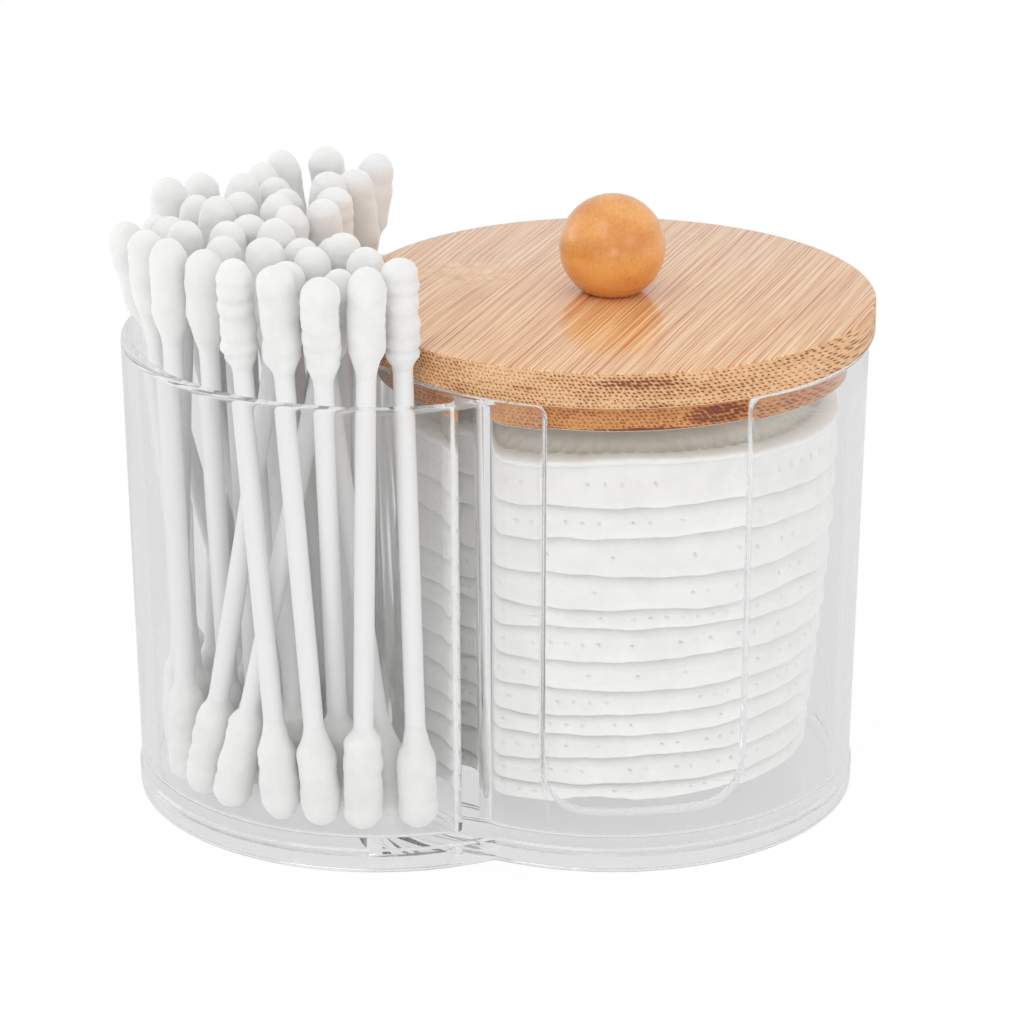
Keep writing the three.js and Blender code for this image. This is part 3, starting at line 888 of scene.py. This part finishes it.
    def web_outline(self, height: float) -> list[tuple[float, float]]:
        """Plan of the front web between the cups: the horn's arc, then the valley's."""
        outer, inner = self.outer(height), self.inner(height)
        swab_x, pad_x = -self.spacing / 2, self.spacing / 2
        to_swab, to_pad = inner - self.horn_fillet, outer + self.horn_fillet
        horn_x = (to_swab**2 - to_pad**2) / (2 * self.spacing)
        horn = (horn_x, -math.sqrt(to_swab**2 - (horn_x - swab_x) ** 2))
        valley = (0.0, -math.sqrt((outer + self.valley_fillet) ** 2 - pad_x**2))

        def heading(start: tuple[float, float], end: tuple[float, float]) -> float:
            """Direction from one point to another, in degrees."""
            return math.degrees(math.atan2(end[1] - start[1], end[0] - start[0]))

        first = arc(horn, self.horn_fillet, heading(horn, (pad_x, 0)), heading((swab_x, 0), horn), 8)
        second = arc(valley, self.valley_fillet, heading(valley, (swab_x, 0)), heading(valley, (pad_x, 0)), 8)
        return first + second

    def web(self, side: int) -> bpy.types.Object:
        """Lofts one web from the foot to the rim.

        Args:
            side: 1 for the front, -1 for the back.

        Returns:
            A closed object.
        """
        ends = (0.0, self.rim - self.web_drop)
        rings = [[(x * MM, side * y * MM, z * MM) for x, y in self.web_outline(z)] for z in ends]
        count = len(rings[0])
        walls = [(i, (i + 1) % count, count + (i + 1) % count, count + i) for i in range(count)]
        mesh = bpy.data.meshes.new("web")
        caps = [tuple(range(count)), tuple(range(count, 2 * count))]
        mesh.from_pydata(rings[0] + rings[1], [], walls + caps)
        obj = new_object("web", mesh)
        face_outwards(obj)
        return obj

    def build(self) -> bpy.types.Object:
        """Joins the two cups into one moulding."""
        holder = self.pad_cup()
        crescent = self.cup_shell()
        tools = ((self.web(1), "UNION"), (self.web(-1), "UNION"), (self.mid_wall_plug(), "DIFFERENCE"))
        for tool, operation in tools:
            apply_modifier(crescent, "BOOLEAN", operation=operation, object=tool, solver="EXACT")
            bpy.data.objects.remove(tool)
        apply_modifier(holder, "BOOLEAN", operation="UNION", object=crescent, solver="EXACT")
        bpy.data.objects.remove(crescent)
        holder.data.transform(Matrix.Translation((self.shift * MM, 0, 0)))
        holder.name = "clear_holder"
        smooth(holder, 34)
        apply_modifier(holder, "WEIGHTED_NORMAL", keep_sharp=True, weight=80)
        dress(holder, Body.HOLDER, "clear_plastic", ["holder_body"], self.finish.material())
        return holder


# The lid


@dataclass
class BambooLid:
    """A round disc on the rim, a smaller plug under it, a ball knob and its screw."""

    axis_x: float = PAD_AXIS
    disc_radius: float = 33.5
    plug_radius: float = 30.1
    plug_under: float = 57.8
    under: float = 61.8
    top: float = 66.4
    board_round: float = 0.5
    hole_radius: float = 1.8
    recess_radius: float = 3.3
    recess_depth: float = 2.2
    knob_radius: float = 6.75
    knob_foot: float = 3.4
    knob_ease: float = 0.25
    knob_ease_angle: float = 1.5
    knob_hole: float = 6.8
    knob_sides: int = 72
    sides: int = 160
    disc_finish: BambooBoard = field(default_factory=lambda: BambooBoard(scorches=(
        Scorch(3.5, 65.1, 7.5, 0.7, 0.75), Scorch(8.0, 62.3, 5.0, 0.4, 0.5),
        Scorch(-24.0, 64.0, 6.0, 0.5, 0.35),
    )))
    # The plug's edge colours are darker than the disc's: partly the board's own deeper tone, partly painted
    # shade for the shadow under the disc's overhang
    plug_finish: BambooBoard = field(default_factory=lambda: BambooBoard(
        radius=30.1, edge_pale="D69858", edge_mid="BE7838", scorches=(
            Scorch(24.0, 59.4, 6.0, 1.6, 1.2), Scorch(5.0, 58.0, 8.5, 0.5, 1.8),
            Scorch(-40.0, 59.5, 7.0, 0.7, 0.5),
        ),
    ))
    # Near white for the plug's top and underside: painted fill light, whose bounce lightens the shade on the
    # top pad under the lid
    bare_fill_light_finish: BambooBoard = field(default_factory=lambda: BambooBoard(
        name="bamboo_bare_fill_light", pale="F8EEDF", mid="F1E4CF", dark="E4D2B6", streak="CDB08A", coat=0.0,
    ))
    knob_finish: VarnishedBall = field(default_factory=VarnishedBall)
    screw_finish: ZincScrew = field(default_factory=ZincScrew)

    def board(self, name: str, radius: float, under: float, top: float, recess: float) -> bpy.types.Object:
        """Turns one board with eased edges and the screw hole.

        Args:
            name: the piece's name.
            radius: its radius.
            under: height of its underside.
            top: height of its top.
            recess: depth of the screw head's recess in the underside, or 0.

        Returns:
            The board.
        """
        ease = self.board_round
        hole = [(self.hole_radius, top), (self.hole_radius, under)]
        if recess:
            step = under + recess
            hole = [
                (self.hole_radius, top), (self.hole_radius, step),
                (self.recess_radius, step), (self.recess_radius, under),
            ]
        profile = [
            *hole,
            *arc((radius - ease, under + ease), ease, -90, 0, 4),
            *arc((radius - ease, top - ease), ease, 0, 90, 4),
        ]
        obj = turned(name, profile, self.sides, self.axis_x)
        smooth(obj, 35)
        return obj

    def knob(self) -> bpy.types.Object:
        """Turns the ball, cut flat and slightly eased where it stands on the disc."""
        radius = self.knob_radius
        foot = math.degrees(math.asin(self.knob_foot / radius))
        centre = self.top + radius * math.cos(math.radians(foot))
        hole_top = self.top + self.knob_hole
        profile = [
            (0.0, hole_top), (self.hole_radius, hole_top), (self.hole_radius, self.top),
            (self.knob_foot - self.knob_ease, self.top),
            *arc((0.0, centre), radius, foot - 90 + self.knob_ease_angle, 90, 40),
        ]
        profile[-1] = (0.0, centre + radius)
        obj = turned("wooden_knob", profile, self.knob_sides, self.axis_x)
        smooth(obj, 50)
        return obj

    def build(self) -> None:
        """Builds and dresses the four pieces of the lid."""
        streaked = self.disc_finish.material(Cut.ALONG)
        # The faces of the plug are left unvarnished, and are painted near white as a fill light: their bounce
        # lightens the shade on the top pad under the lid
        bare_fill_light = self.bare_fill_light_finish.material(Cut.ALONG)
        disc = self.board("bamboo_disc", self.disc_radius, self.under, self.top, 0)
        dress(disc, Body.LID, "bamboo_top", ["lid_disc"], streaked, self.disc_finish.material(Cut.ACROSS))
        plug = self.board("bamboo_plug", self.plug_radius, self.plug_under, self.under, self.recess_depth)
        dress(plug, Body.LID, "bamboo_plug", ["lid_plug"], bare_fill_light, self.plug_finish.material(Cut.ACROSS))
        for board in (disc, plug):
            for face in board.data.polygons:
                face.material_index = 0 if abs(face.normal.z) > 0.75 else 1
        dress(self.knob(), Body.LID, "knob_wood", ["lid_knob"], self.knob_finish.material())
        screw = frame["nodes"]["lid_screw"]
        screw.data.materials.clear()
        screw.data.materials.append(self.screw_finish.material())


# The contents


def drift(rng: np.random.Generator, angle: np.ndarray, orders: Sequence[int], fall: float) -> np.ndarray:
    """Adds up random waves round a circle.

    Args:
        rng: the random numbers.
        angle: angle of each point.
        orders: how many times each wave goes round.
        fall: power of its order by which each wave is made lower.

    Returns:
        The sum at each point.
    """
    return sum(
        rng.normal() / order**fall * np.cos(order * angle + rng.uniform(0, 2 * math.pi)) for order in orders
    )


@dataclass
class PadStack:
    """Twelve round cotton pads with a crimped edge, shaped around their CAD solids."""

    count: int = 12
    crimps: int = 84
    steps_per_crimp: int = 8
    blank_radius: float = 28.0
    rim_width: float = 5.0
    crimp_depth: float = 0.14
    dent_depth: float = 0.65
    hole_depth: float = 0.6
    swell: float = 0.14
    recess: float = 0.85
    wave: float = 0.5
    ripple: float = 0.035
    sag: float = 0.2
    bead_inset: float = 3.0
    bead_reach: float = 0.95
    top_bead_inset: float = 3.7
    top_bead_share: float = 2.4
    seam_level: float = -0.06
    seam_reach: float = 0.08
    shoulder_level: float = 0.85
    shoulder_reach: float = 0.15
    torn_lift: float = 0.75
    torn_angle: float = 8.0
    finish: PressedCotton = field(default_factory=lambda: PressedCotton("cotton_pad_pressed"))

    def blank(self) -> bpy.types.Object:
        """Turns one plain pad: its faces lie at -1 and 1, and its side hangs over like a lip."""
        lip = [
            (-0.4, -1.0), (-0.05, -0.995), (0.1, -0.96), (0.18, -0.88), (0.18, -0.76), (0.12, -0.6),
            (0.05, -0.45), (-0.01, -0.32), (-0.05, -0.22), (-0.08, -0.14), (-0.11, -0.06),
            *[(-0.11 - self.recess * level**1.4, level) for level in np.linspace(0.02, 0.96, 12)],
            (-0.25 - self.recess, 1.0),
        ]
        ring = [(-2.0, 1.0), (-2.5, 1.0), (-3.0, 1.0), (-3.6, 1.0), (-4.2, 1.0), (-5.0, 1.0)]
        inner = self.blank_radius - self.rim_width
        shares = (0.0, 0.3, 0.55, 0.75, 0.9)
        profile = [
            *[(inner * share, -1.0) for share in shares],
            (inner, -1.0), (self.blank_radius - 2.6, -1.0),
            *[(self.blank_radius + back, level) for back, level in [*lip, *ring]],
            *[(inner * share, 1.0) for share in shares[::-1]],
        ]
        return turned("pad_blank", profile, self.crimps * self.steps_per_crimp)

    def faces_of(self, node: str) -> dict[str, float]:
        """Reads a pad's axis, radius and the curves of its two faces from its CAD solid.

        Args:
            node: the pad's CAD node.

        Returns:
            Axis place, radius, and height at the middle and rise to the edge of each face.
        """
        points = np.array([v.co for v in frame["nodes"][node].data.vertices]) / MM
        low, high = points.min(0), points.max(0)
        axis = (low[0] + high[0]) / 2
        radius = (high[0] - low[0]) / 2
        reach = np.hypot(points[:, 0] - axis, points[:, 1])
        middle = points[reach < 0.5, 2]
        ring_share = 0.93
        ring = points[np.abs(reach - ring_share * radius) < 0.4, 2]
        cut = (ring.min() + ring.max()) / 2
        under, over = ring[ring < cut].mean(), ring[ring > cut].mean()
        return {
            "axis": axis, "radius": radius,
            "under": middle.min(), "under_rise": (under - middle.min()) / ring_share**2,
            "over": middle.max(), "over_rise": (over - middle.max()) / ring_share**2,
        }

    def waves(self, number: int, angle: np.ndarray) -> np.ndarray:
        """How far the edge of one boundary between pads lies above or below its plain level.

        Args:
            number: the boundary, from 0 under the lowest pad.
            angle: angle round the stack of each point.

        Returns:
            The offset of each point, in mm.
        """
        rng = np.random.default_rng(700 + number)
        slow = drift(rng, angle, range(3, 12), 1)
        offset = self.wave * slow + self.ripple * drift(rng, angle, (17, 23, 31, 41), 0)
        if number > 0:
            return offset
        # The lowest pad's lip is torn up a little at the front, in the middle of the slot
        from_front = np.degrees(np.angle(np.exp(1j * (angle + math.pi / 2))))
        ragged = 0.75 + 0.25 * np.cos(31 * angle) * np.cos(17 * angle + 1)
        torn = self.torn_lift * np.exp(-(((from_front + 1) / self.torn_angle) ** 4)) * ragged
        return np.abs(offset) * 0.5 + torn

    def shape_pad(self, number: int, blank: bpy.types.Object) -> bpy.types.Object:
        """Makes one pad from the blank: its thickness, crimps, pin holes and slight waves.

        Args:
            number: which pad, from 1 at the floor.
            blank: the plain pad.

        Returns:
            The pad.
        """
        shape = self.faces_of(f"cotton_pad_{number:02d}")
        radius = shape["radius"]
        pad = new_object(f"pad_{number:02d}", blank.data.copy())
        places = coordinates(blank) / MM
        flat = places[:, :2].copy()
        level = places[:, 2].copy()
        reach = np.hypot(flat[:, 0], flat[:, 1])
        angle = np.arctan2(flat[:, 1], flat[:, 0])
        inner = self.blank_radius - self.rim_width
        inside = reach * (radius - self.rim_width) / inner
        target = np.where(reach < inner, inside, reach - self.blank_radius + radius)
        # The crimped edge
        edge = np.clip((target - (radius - self.rim_width)) / self.rim_width, 0, 1)
        rng = np.random.default_rng(100 + number)
        phase = rng.integers(self.steps_per_crimp) / self.steps_per_crimp * 2 * math.pi
        turns = self.crimps * angle + phase
        crimp = 0.5 + 0.5 * np.cos(turns)
        which = np.round(turns / (2 * math.pi)).astype(int) % self.crimps
        vary = rng.uniform(0.4, 1.0, self.crimps)[which]
        shoulder = np.exp(-(((level - self.shoulder_level) / self.shoulder_reach) ** 2)) * (edge > 0.6)
        inward = self.crimp_depth * (1 - crimp) * vary * shoulder
        inward += self.sag * edge**3 * np.clip(0.6 + 0.3 * drift(rng, angle, range(2, 10), 1), 0, 2)
        depths = np.sqrt(np.clip(rng.uniform(-0.6, 1.0, self.crimps), 0, None))[which]
        on_seam = np.exp(-(((level - self.seam_level) / self.seam_reach) ** 2)) * (edge > 0.9)
        inward += self.hole_depth * depths * np.exp(-(((1 - crimp) / 0.1) ** 2)) * on_seam
        if number == self.count:
            # The crimped seam of the top pad stands out as a thin lip
            lip_drift = drift(rng, angle, range(6, 44, 4), 0.5)
            lip = np.interp(level, (0.2, 0.7, 0.8, 0.94, 1.0), (0.0, 0.3, 0.95, 1.15, 1.1))
            inward -= (lip - 0.07 * lip_drift * (level > 0.7)) * (edge > 0.75)
        target = np.where(reach > 1, target - inward, target)
        # Both faces follow the curves of the solid, and swell into the gap to the next pad
        share = (target / radius) ** 2
        under = shape["under"] + shape["under_rise"] * share - self.swell * edge
        over = shape["over"] + shape["over_rise"] * share + self.swell * edge
        under += self.waves(number - 1, angle) * (target / radius) ** 6
        over += self.waves(number, angle) * (target / radius) ** 6
        height = under + (over - under) * (level + 1) / 2
        # The beads of the top pad lie farther in and stand out more, as nothing presses on them
        is_top = number == self.count
        inset, deep = (self.top_bead_inset, self.top_bead_share) if is_top else (self.bead_inset, 1.0)
        ring = np.exp(-(((radius - target - inset) / self.bead_reach) ** 2)) * (level > 0.99)
        height -= deep * self.dent_depth * ring * (1 - crimp**2.5 * vary)
        scale = target / np.maximum(reach, 1e-6)
        places[:, 0] = shape["axis"] + flat[:, 0] * scale
        places[:, 1] = flat[:, 1] * scale
        places[:, 2] = height
        move_vertices(pad, places * MM)
        smooth(pad, 80)
        return pad

    def build(self) -> None:
        """Builds and dresses every pad."""
        cotton = self.finish.material()
        blank = self.blank()
        for number in range(1, self.count + 1):
            pad = self.shape_pad(number, blank)
            dress(pad, Body.PADS, "pad_cotton", [f"cotton_pad_{number:02d}"], cotton)
        bpy.data.objects.remove(blank)


@dataclass(frozen=True)
class BudShape:
    """How one bud is wound: shares of its length, and its ribs."""

    nose: float
    taper: float
    slope: float
    rib_depth: float
    rib_phase: float


@dataclass
class SwabBunch:
    """Forty two swabs: a paper stick with one ribbed and one pointed cotton bud."""

    count: int = 42
    length: float = 74.0
    stick: float = 1.25
    bud: float = 2.5
    bud_length: float = 14.0
    rib_pitch: float = 2.3
    lump: float = 0.26
    fine_lump: float = 0.1
    lump_density: float = 0.42
    fine_density: float = 1.5
    lump_fade: float = 0.6
    seam_overlap: float = 0.2
    sides: int = 32
    bud_rows: int = 40
    ribbed_up: tuple[int, ...] = (5, 9, 26, 30, 36, 37, 40, 41)
    bud_finish: PressedCotton = field(
        default_factory=lambda: PressedCotton("cotton_bud_wound", "E7E7E6", "E0E0DF", 0.5, 0.6)
    )
    stick_finish: RolledPaper = field(default_factory=RolledPaper)

    def bud_shape(self, kind: BudKind, rng: np.random.Generator) -> BudShape:
        """Draws the winding of one bud.

        Args:
            kind: ribbed or pointed.
            rng: the swab's random numbers.

        Returns:
            The shape.
        """
        if kind is BudKind.RIBBED:
            return BudShape(
                rng.uniform(0.15, 0.19), rng.uniform(0.78, 0.86), rng.uniform(0.03, 0.14),
                rng.uniform(0.06, 0.19), rng.uniform(0, 2 * math.pi),
            )
        return BudShape(
            rng.uniform(0.17, 0.27), rng.uniform(0.55, 0.78), rng.uniform(0.0, 0.04),
            rng.uniform(0.0, 0.05), rng.uniform(0, 2 * math.pi),
        )

    def bud_radius(self, along: np.ndarray, shape: BudShape) -> np.ndarray:
        """Radius of a bud at distances from its nose.

        Args:
            along: distances from the nose, in mm.
            shape: how the bud is wound.

        Returns:
            The radii in mm.
        """
        share = along / self.bud_length
        nose = np.sqrt(np.clip(1 - (1 - np.clip(share / shape.nose, 0, 1)) ** 2, 0, 1))
        # Round bulges with a narrow furrow between them
        drift = 0.5 * np.sin(0.9 * along + 2 * shape.rib_phase)
        wound = np.abs(np.cos(math.pi * along / self.rib_pitch + drift + shape.rib_phase)) ** 0.7
        ribs = shape.rib_depth * (2 * wound - 1) * np.clip((share - 0.12) / 0.12, 0, 1)
        full = (self.bud * (1 - shape.slope * share) + ribs - shape.rib_depth) * nose
        tail = np.clip((1 - share) / (1 - shape.taper), 0, 1)
        ease = tail * tail * (3 - 2 * tail)
        return np.where(share > shape.taper, self.stick + (full - self.stick) * ease, full)

    def rows(self) -> np.ndarray:
        """Distances from a nose of the rows of points on a bud, closer at the nose."""
        return self.bud_length * np.linspace(0, 1, self.bud_rows + 1) ** 1.6

    def master(self) -> bpy.types.Object:
        """Turns one swab of even radius, whose buds are shaped when it is placed."""
        along = self.rows()
        ends = np.maximum(0.4 * self.stick, self.stick * np.sqrt(np.clip(along / 2.0, 0, 1)))
        middle = np.linspace(self.bud_length, self.length - self.bud_length, 5)[1:-1]
        profile = [
            *zip(ends, along), *[(self.stick, height) for height in middle],
            *[(radius, self.length - height) for radius, height in zip(ends[::-1], along[::-1])],
        ]
        profile[0], profile[-1] = (0.0, 0.0), (0.0, self.length)
        return turned("swab", profile, self.sides)

    def ends_of(self, node: str) -> tuple[Vector, Vector]:
        """Lowest and highest nose of a swab's CAD solid, in mm."""
        points = np.array([v.co for v in frame["nodes"][node].data.vertices]) / MM
        centre = points.mean(0)
        _, _, axes = np.linalg.svd(points - centre, full_matrices=False)
        along = axes[0] if axes[0][2] > 0 else -axes[0]
        reach = (points - centre) @ along
        return Vector(points[reach.argmin()]), Vector(points[reach.argmax()])

    def place(self, master: bpy.types.Object, number: int) -> bpy.types.Object:
        """Copies the master swab to one of the CAD swabs and winds its buds.

        Args:
            master: the swab modelled once, upright at the origin.
            number: which swab, from 1.

        Returns:
            The placed swab.
        """
        foot, tip = self.ends_of(f"cotton_swab_{number:02d}")
        swab = new_object(f"swab_{number:02d}", master.data.copy())
        places = coordinates(master) / MM
        rng = np.random.default_rng(500 + number)
        lower, upper = BudKind.RIBBED, BudKind.POINTED
        if number in self.ribbed_up:
            lower, upper = upper, lower
        height = places[:, 2]
        reach = np.maximum(np.hypot(places[:, 0], places[:, 1]), 1e-6)
        radius = np.full(len(places), self.stick)
        on_lower, on_upper = height < self.bud_length, height > self.length - self.bud_length
        radius[on_lower] = self.bud_radius(height[on_lower], self.bud_shape(lower, rng))
        radius[on_upper] = self.bud_radius(self.length - height[on_upper], self.bud_shape(upper, rng))
        offset = Vector(rng.uniform(0, 40, 3))
        lumps = np.array([
            noise.noise(Vector(p) * self.lump_density + offset) * self.lump
            + noise.noise(Vector(p) * self.fine_density + offset) * self.fine_lump
            for p in places
        ])
        on_bud = np.clip((radius - self.stick) / self.lump_fade, 0, 1)
        radius += on_bud * (lumps - 0.05)
        places[:, :2] *= np.where(reach > 1e-5, radius / reach, 1.0)[:, None]
        spin = Matrix.Rotation(rng.uniform(0, 2 * math.pi), 3, "Z")
        turn = (tip - foot).normalized().to_track_quat("Z", "Y").to_matrix() @ spin
        places = places @ np.array(turn).T + np.array(foot)
        move_vertices(swab, places * MM)
        smooth(swab, 80)
        return swab

    def build(self) -> None:
        """Models one swab, copies it to every place and dresses the copies."""
        cotton, paper = self.bud_finish.material(), self.stick_finish.material()
        master = self.master()
        heights = np.array([face.center.z for face in master.data.polygons]) / MM
        low = self.bud_length - self.seam_overlap
        on_stick = (heights > low) & (heights < self.length - low)
        for number in range(1, self.count + 1):
            swab = self.place(master, number)
            dress(swab, Body.SWABS, "swab_cotton", [f"cotton_swab_{number:02d}"], cotton, paper)
            swab.data.polygons.foreach_set("material_index", on_stick.astype(np.int32))
        bpy.data.objects.remove(master)


# Camera, floor and light


@dataclass(frozen=True)
class Softbox:
    """One square softbox: its name, its place and side in metres, and its power in watts."""

    name: str
    place: tuple[float, float, float]
    side: float
    power: float


@dataclass
class Studio:
    """A white sweep under soft light, seen from a little above the front."""

    target: tuple[float, float, float] = (2.016, 0.0, 36.36)
    distance: float = 520.0
    elevation: float = 20.47
    azimuth: float = -0.09
    focal_px: float = 4010.0
    frame_px: float = 1024.0
    sensor: float = 36.0
    floor_radius: float = 6.0
    floor_colour: str = "FAFAFA"
    floor_white: float = 0.94
    floor_pale: float = 0.85
    ambient: float = 0.96
    through: float = 0.93
    mirrored: float = 0.76
    aim: tuple[float, float, float] = (0.0, 0.0, 0.04)
    softboxes: tuple[Softbox, ...] = (
        Softbox("softbox_left", (-0.35, -0.45, 0.85), 0.45, 0.9),
        Softbox("softbox_right", (0.6, -0.7, 0.5), 0.4, 0.5),
        Softbox("softbox_front", (0.05, -1.1, 0.17), 0.3, 0.5),
        Softbox("softbox_back", (-0.9, 0.35, 0.25), 0.5, 0.8),
    )

    def camera(self) -> None:
        """Places the camera at the photograph's viewing angle."""
        lift, turn = math.radians(self.elevation), math.radians(self.azimuth)
        back = Vector((math.sin(turn) * math.cos(lift), -math.cos(turn) * math.cos(lift), math.sin(lift)))
        data = bpy.data.cameras.new("camera")
        data.sensor_width = self.sensor
        data.lens = self.focal_px / self.frame_px * self.sensor
        data.clip_start, data.clip_end = 0.01, 50
        obj = bpy.data.objects.new("camera", data)
        bpy.context.scene.collection.objects.link(obj)
        obj.location = (Vector(self.target) + back * self.distance) * MM
        obj.rotation_euler = (-back).to_track_quat("-Z", "Y").to_euler()
        bpy.context.scene.camera = obj

    def by_ray(self, owner: bpy.types.ID, rest: float, behind: float, mirrored: float, seen: float) -> Any:
        """Picks a value by the kind of ray.

        The camera sees white. Gloss and clear plastic show the same room as a pale grey, which
        is what gives the plastic its grey against the white.

        Args:
            owner: the material or world that holds the nodes.
            rest: the value for every other ray.
            behind: the value through clear plastic.
            mirrored: the value in gloss.
            seen: the value that the camera sees.

        Returns:
            The node with the value.
        """
        path = add_node(owner, "LightPath")
        value: Any = rest
        rays = (("Is Transmission Ray", behind), ("Is Glossy Ray", mirrored), ("Is Camera Ray", seen))
        for ray, level in rays:
            value = add_node(owner, "Mix", {0: path.outputs[ray], 2: value, 3: level}, data_type="FLOAT")
        return value

    def floor(self) -> None:
        """Lays the white floor, which shows white but keeps a soft shadow."""
        deselect_all()
        bpy.ops.mesh.primitive_circle_add(
            vertices=96, radius=self.floor_radius, fill_type="NGON", location=(0, 0, 0)
        )
        floor = bpy.context.object
        floor.name = "studio_floor"
        mat = new_material("studio_white")
        matt = add_node(mat, "BsdfDiffuse", {"Color": linear(self.floor_colour)})
        shown = self.by_ray(mat, 0.0, self.through, self.mirrored, 1.0)
        white = add_node(mat, "Emission", {"Color": (1, 1, 1, 1), "Strength": shown})
        share = self.by_ray(mat, 0.0, self.floor_pale, self.floor_pale, self.floor_white)
        surface(mat, add_node(mat, "MixShader", {0: share, 1: matt, 2: white}))
        floor.data.materials.append(mat)

    def world(self) -> None:
        """Fills the room with even soft light, and shows white behind the floor's end."""
        world = bpy.data.worlds.new("soft_room")
        world.use_nodes = True
        world.node_tree.nodes.clear()
        shown = self.by_ray(world, self.ambient, self.through, self.mirrored, 1.0)
        light = add_node(world, "Background", {"Color": (1, 1, 1, 1), "Strength": shown})
        add_node(world, "OutputWorld", {"Surface": light})
        bpy.context.scene.world = world

    def hang(self, box: Softbox) -> None:
        """Hangs one softbox that faces the object."""
        data = bpy.data.lights.new(box.name, "AREA")
        data.energy, data.size = box.power, box.side
        obj = bpy.data.objects.new(box.name, data)
        bpy.context.scene.collection.objects.link(obj)
        obj.location = box.place
        obj.rotation_euler = (Vector(self.aim) - Vector(box.place)).to_track_quat("-Z", "Y").to_euler()

    def build(self) -> None:
        """Sets up the whole studio."""
        self.camera()
        self.floor()
        self.world()
        for box in self.softboxes:
            self.hang(box)
        bpy.context.scene.view_settings.view_transform = "Standard"
        cycles = bpy.context.scene.cycles
        cycles.max_bounces = 36
        cycles.transmission_bounces = 36
        cycles.glossy_bounces = 12
        cycles.diffuse_bounces = 5
        cycles.transparent_max_bounces = 48


def main() -> None:
    """Builds the studio and every sub-assembly around the frame."""
    logging.basicConfig(level=logging.INFO, format="%(name)s: %(message)s")
    low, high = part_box("lid_disc")
    shift = (low.x + high.x) / 2 / MM - PAD_AXIS
    Studio().build()
    ClearHolder(shift=shift).build()
    BambooLid(axis_x=PAD_AXIS + shift).build()
    PadStack().build()
    SwabBunch().build()


if __name__ == "__main__":
    main()
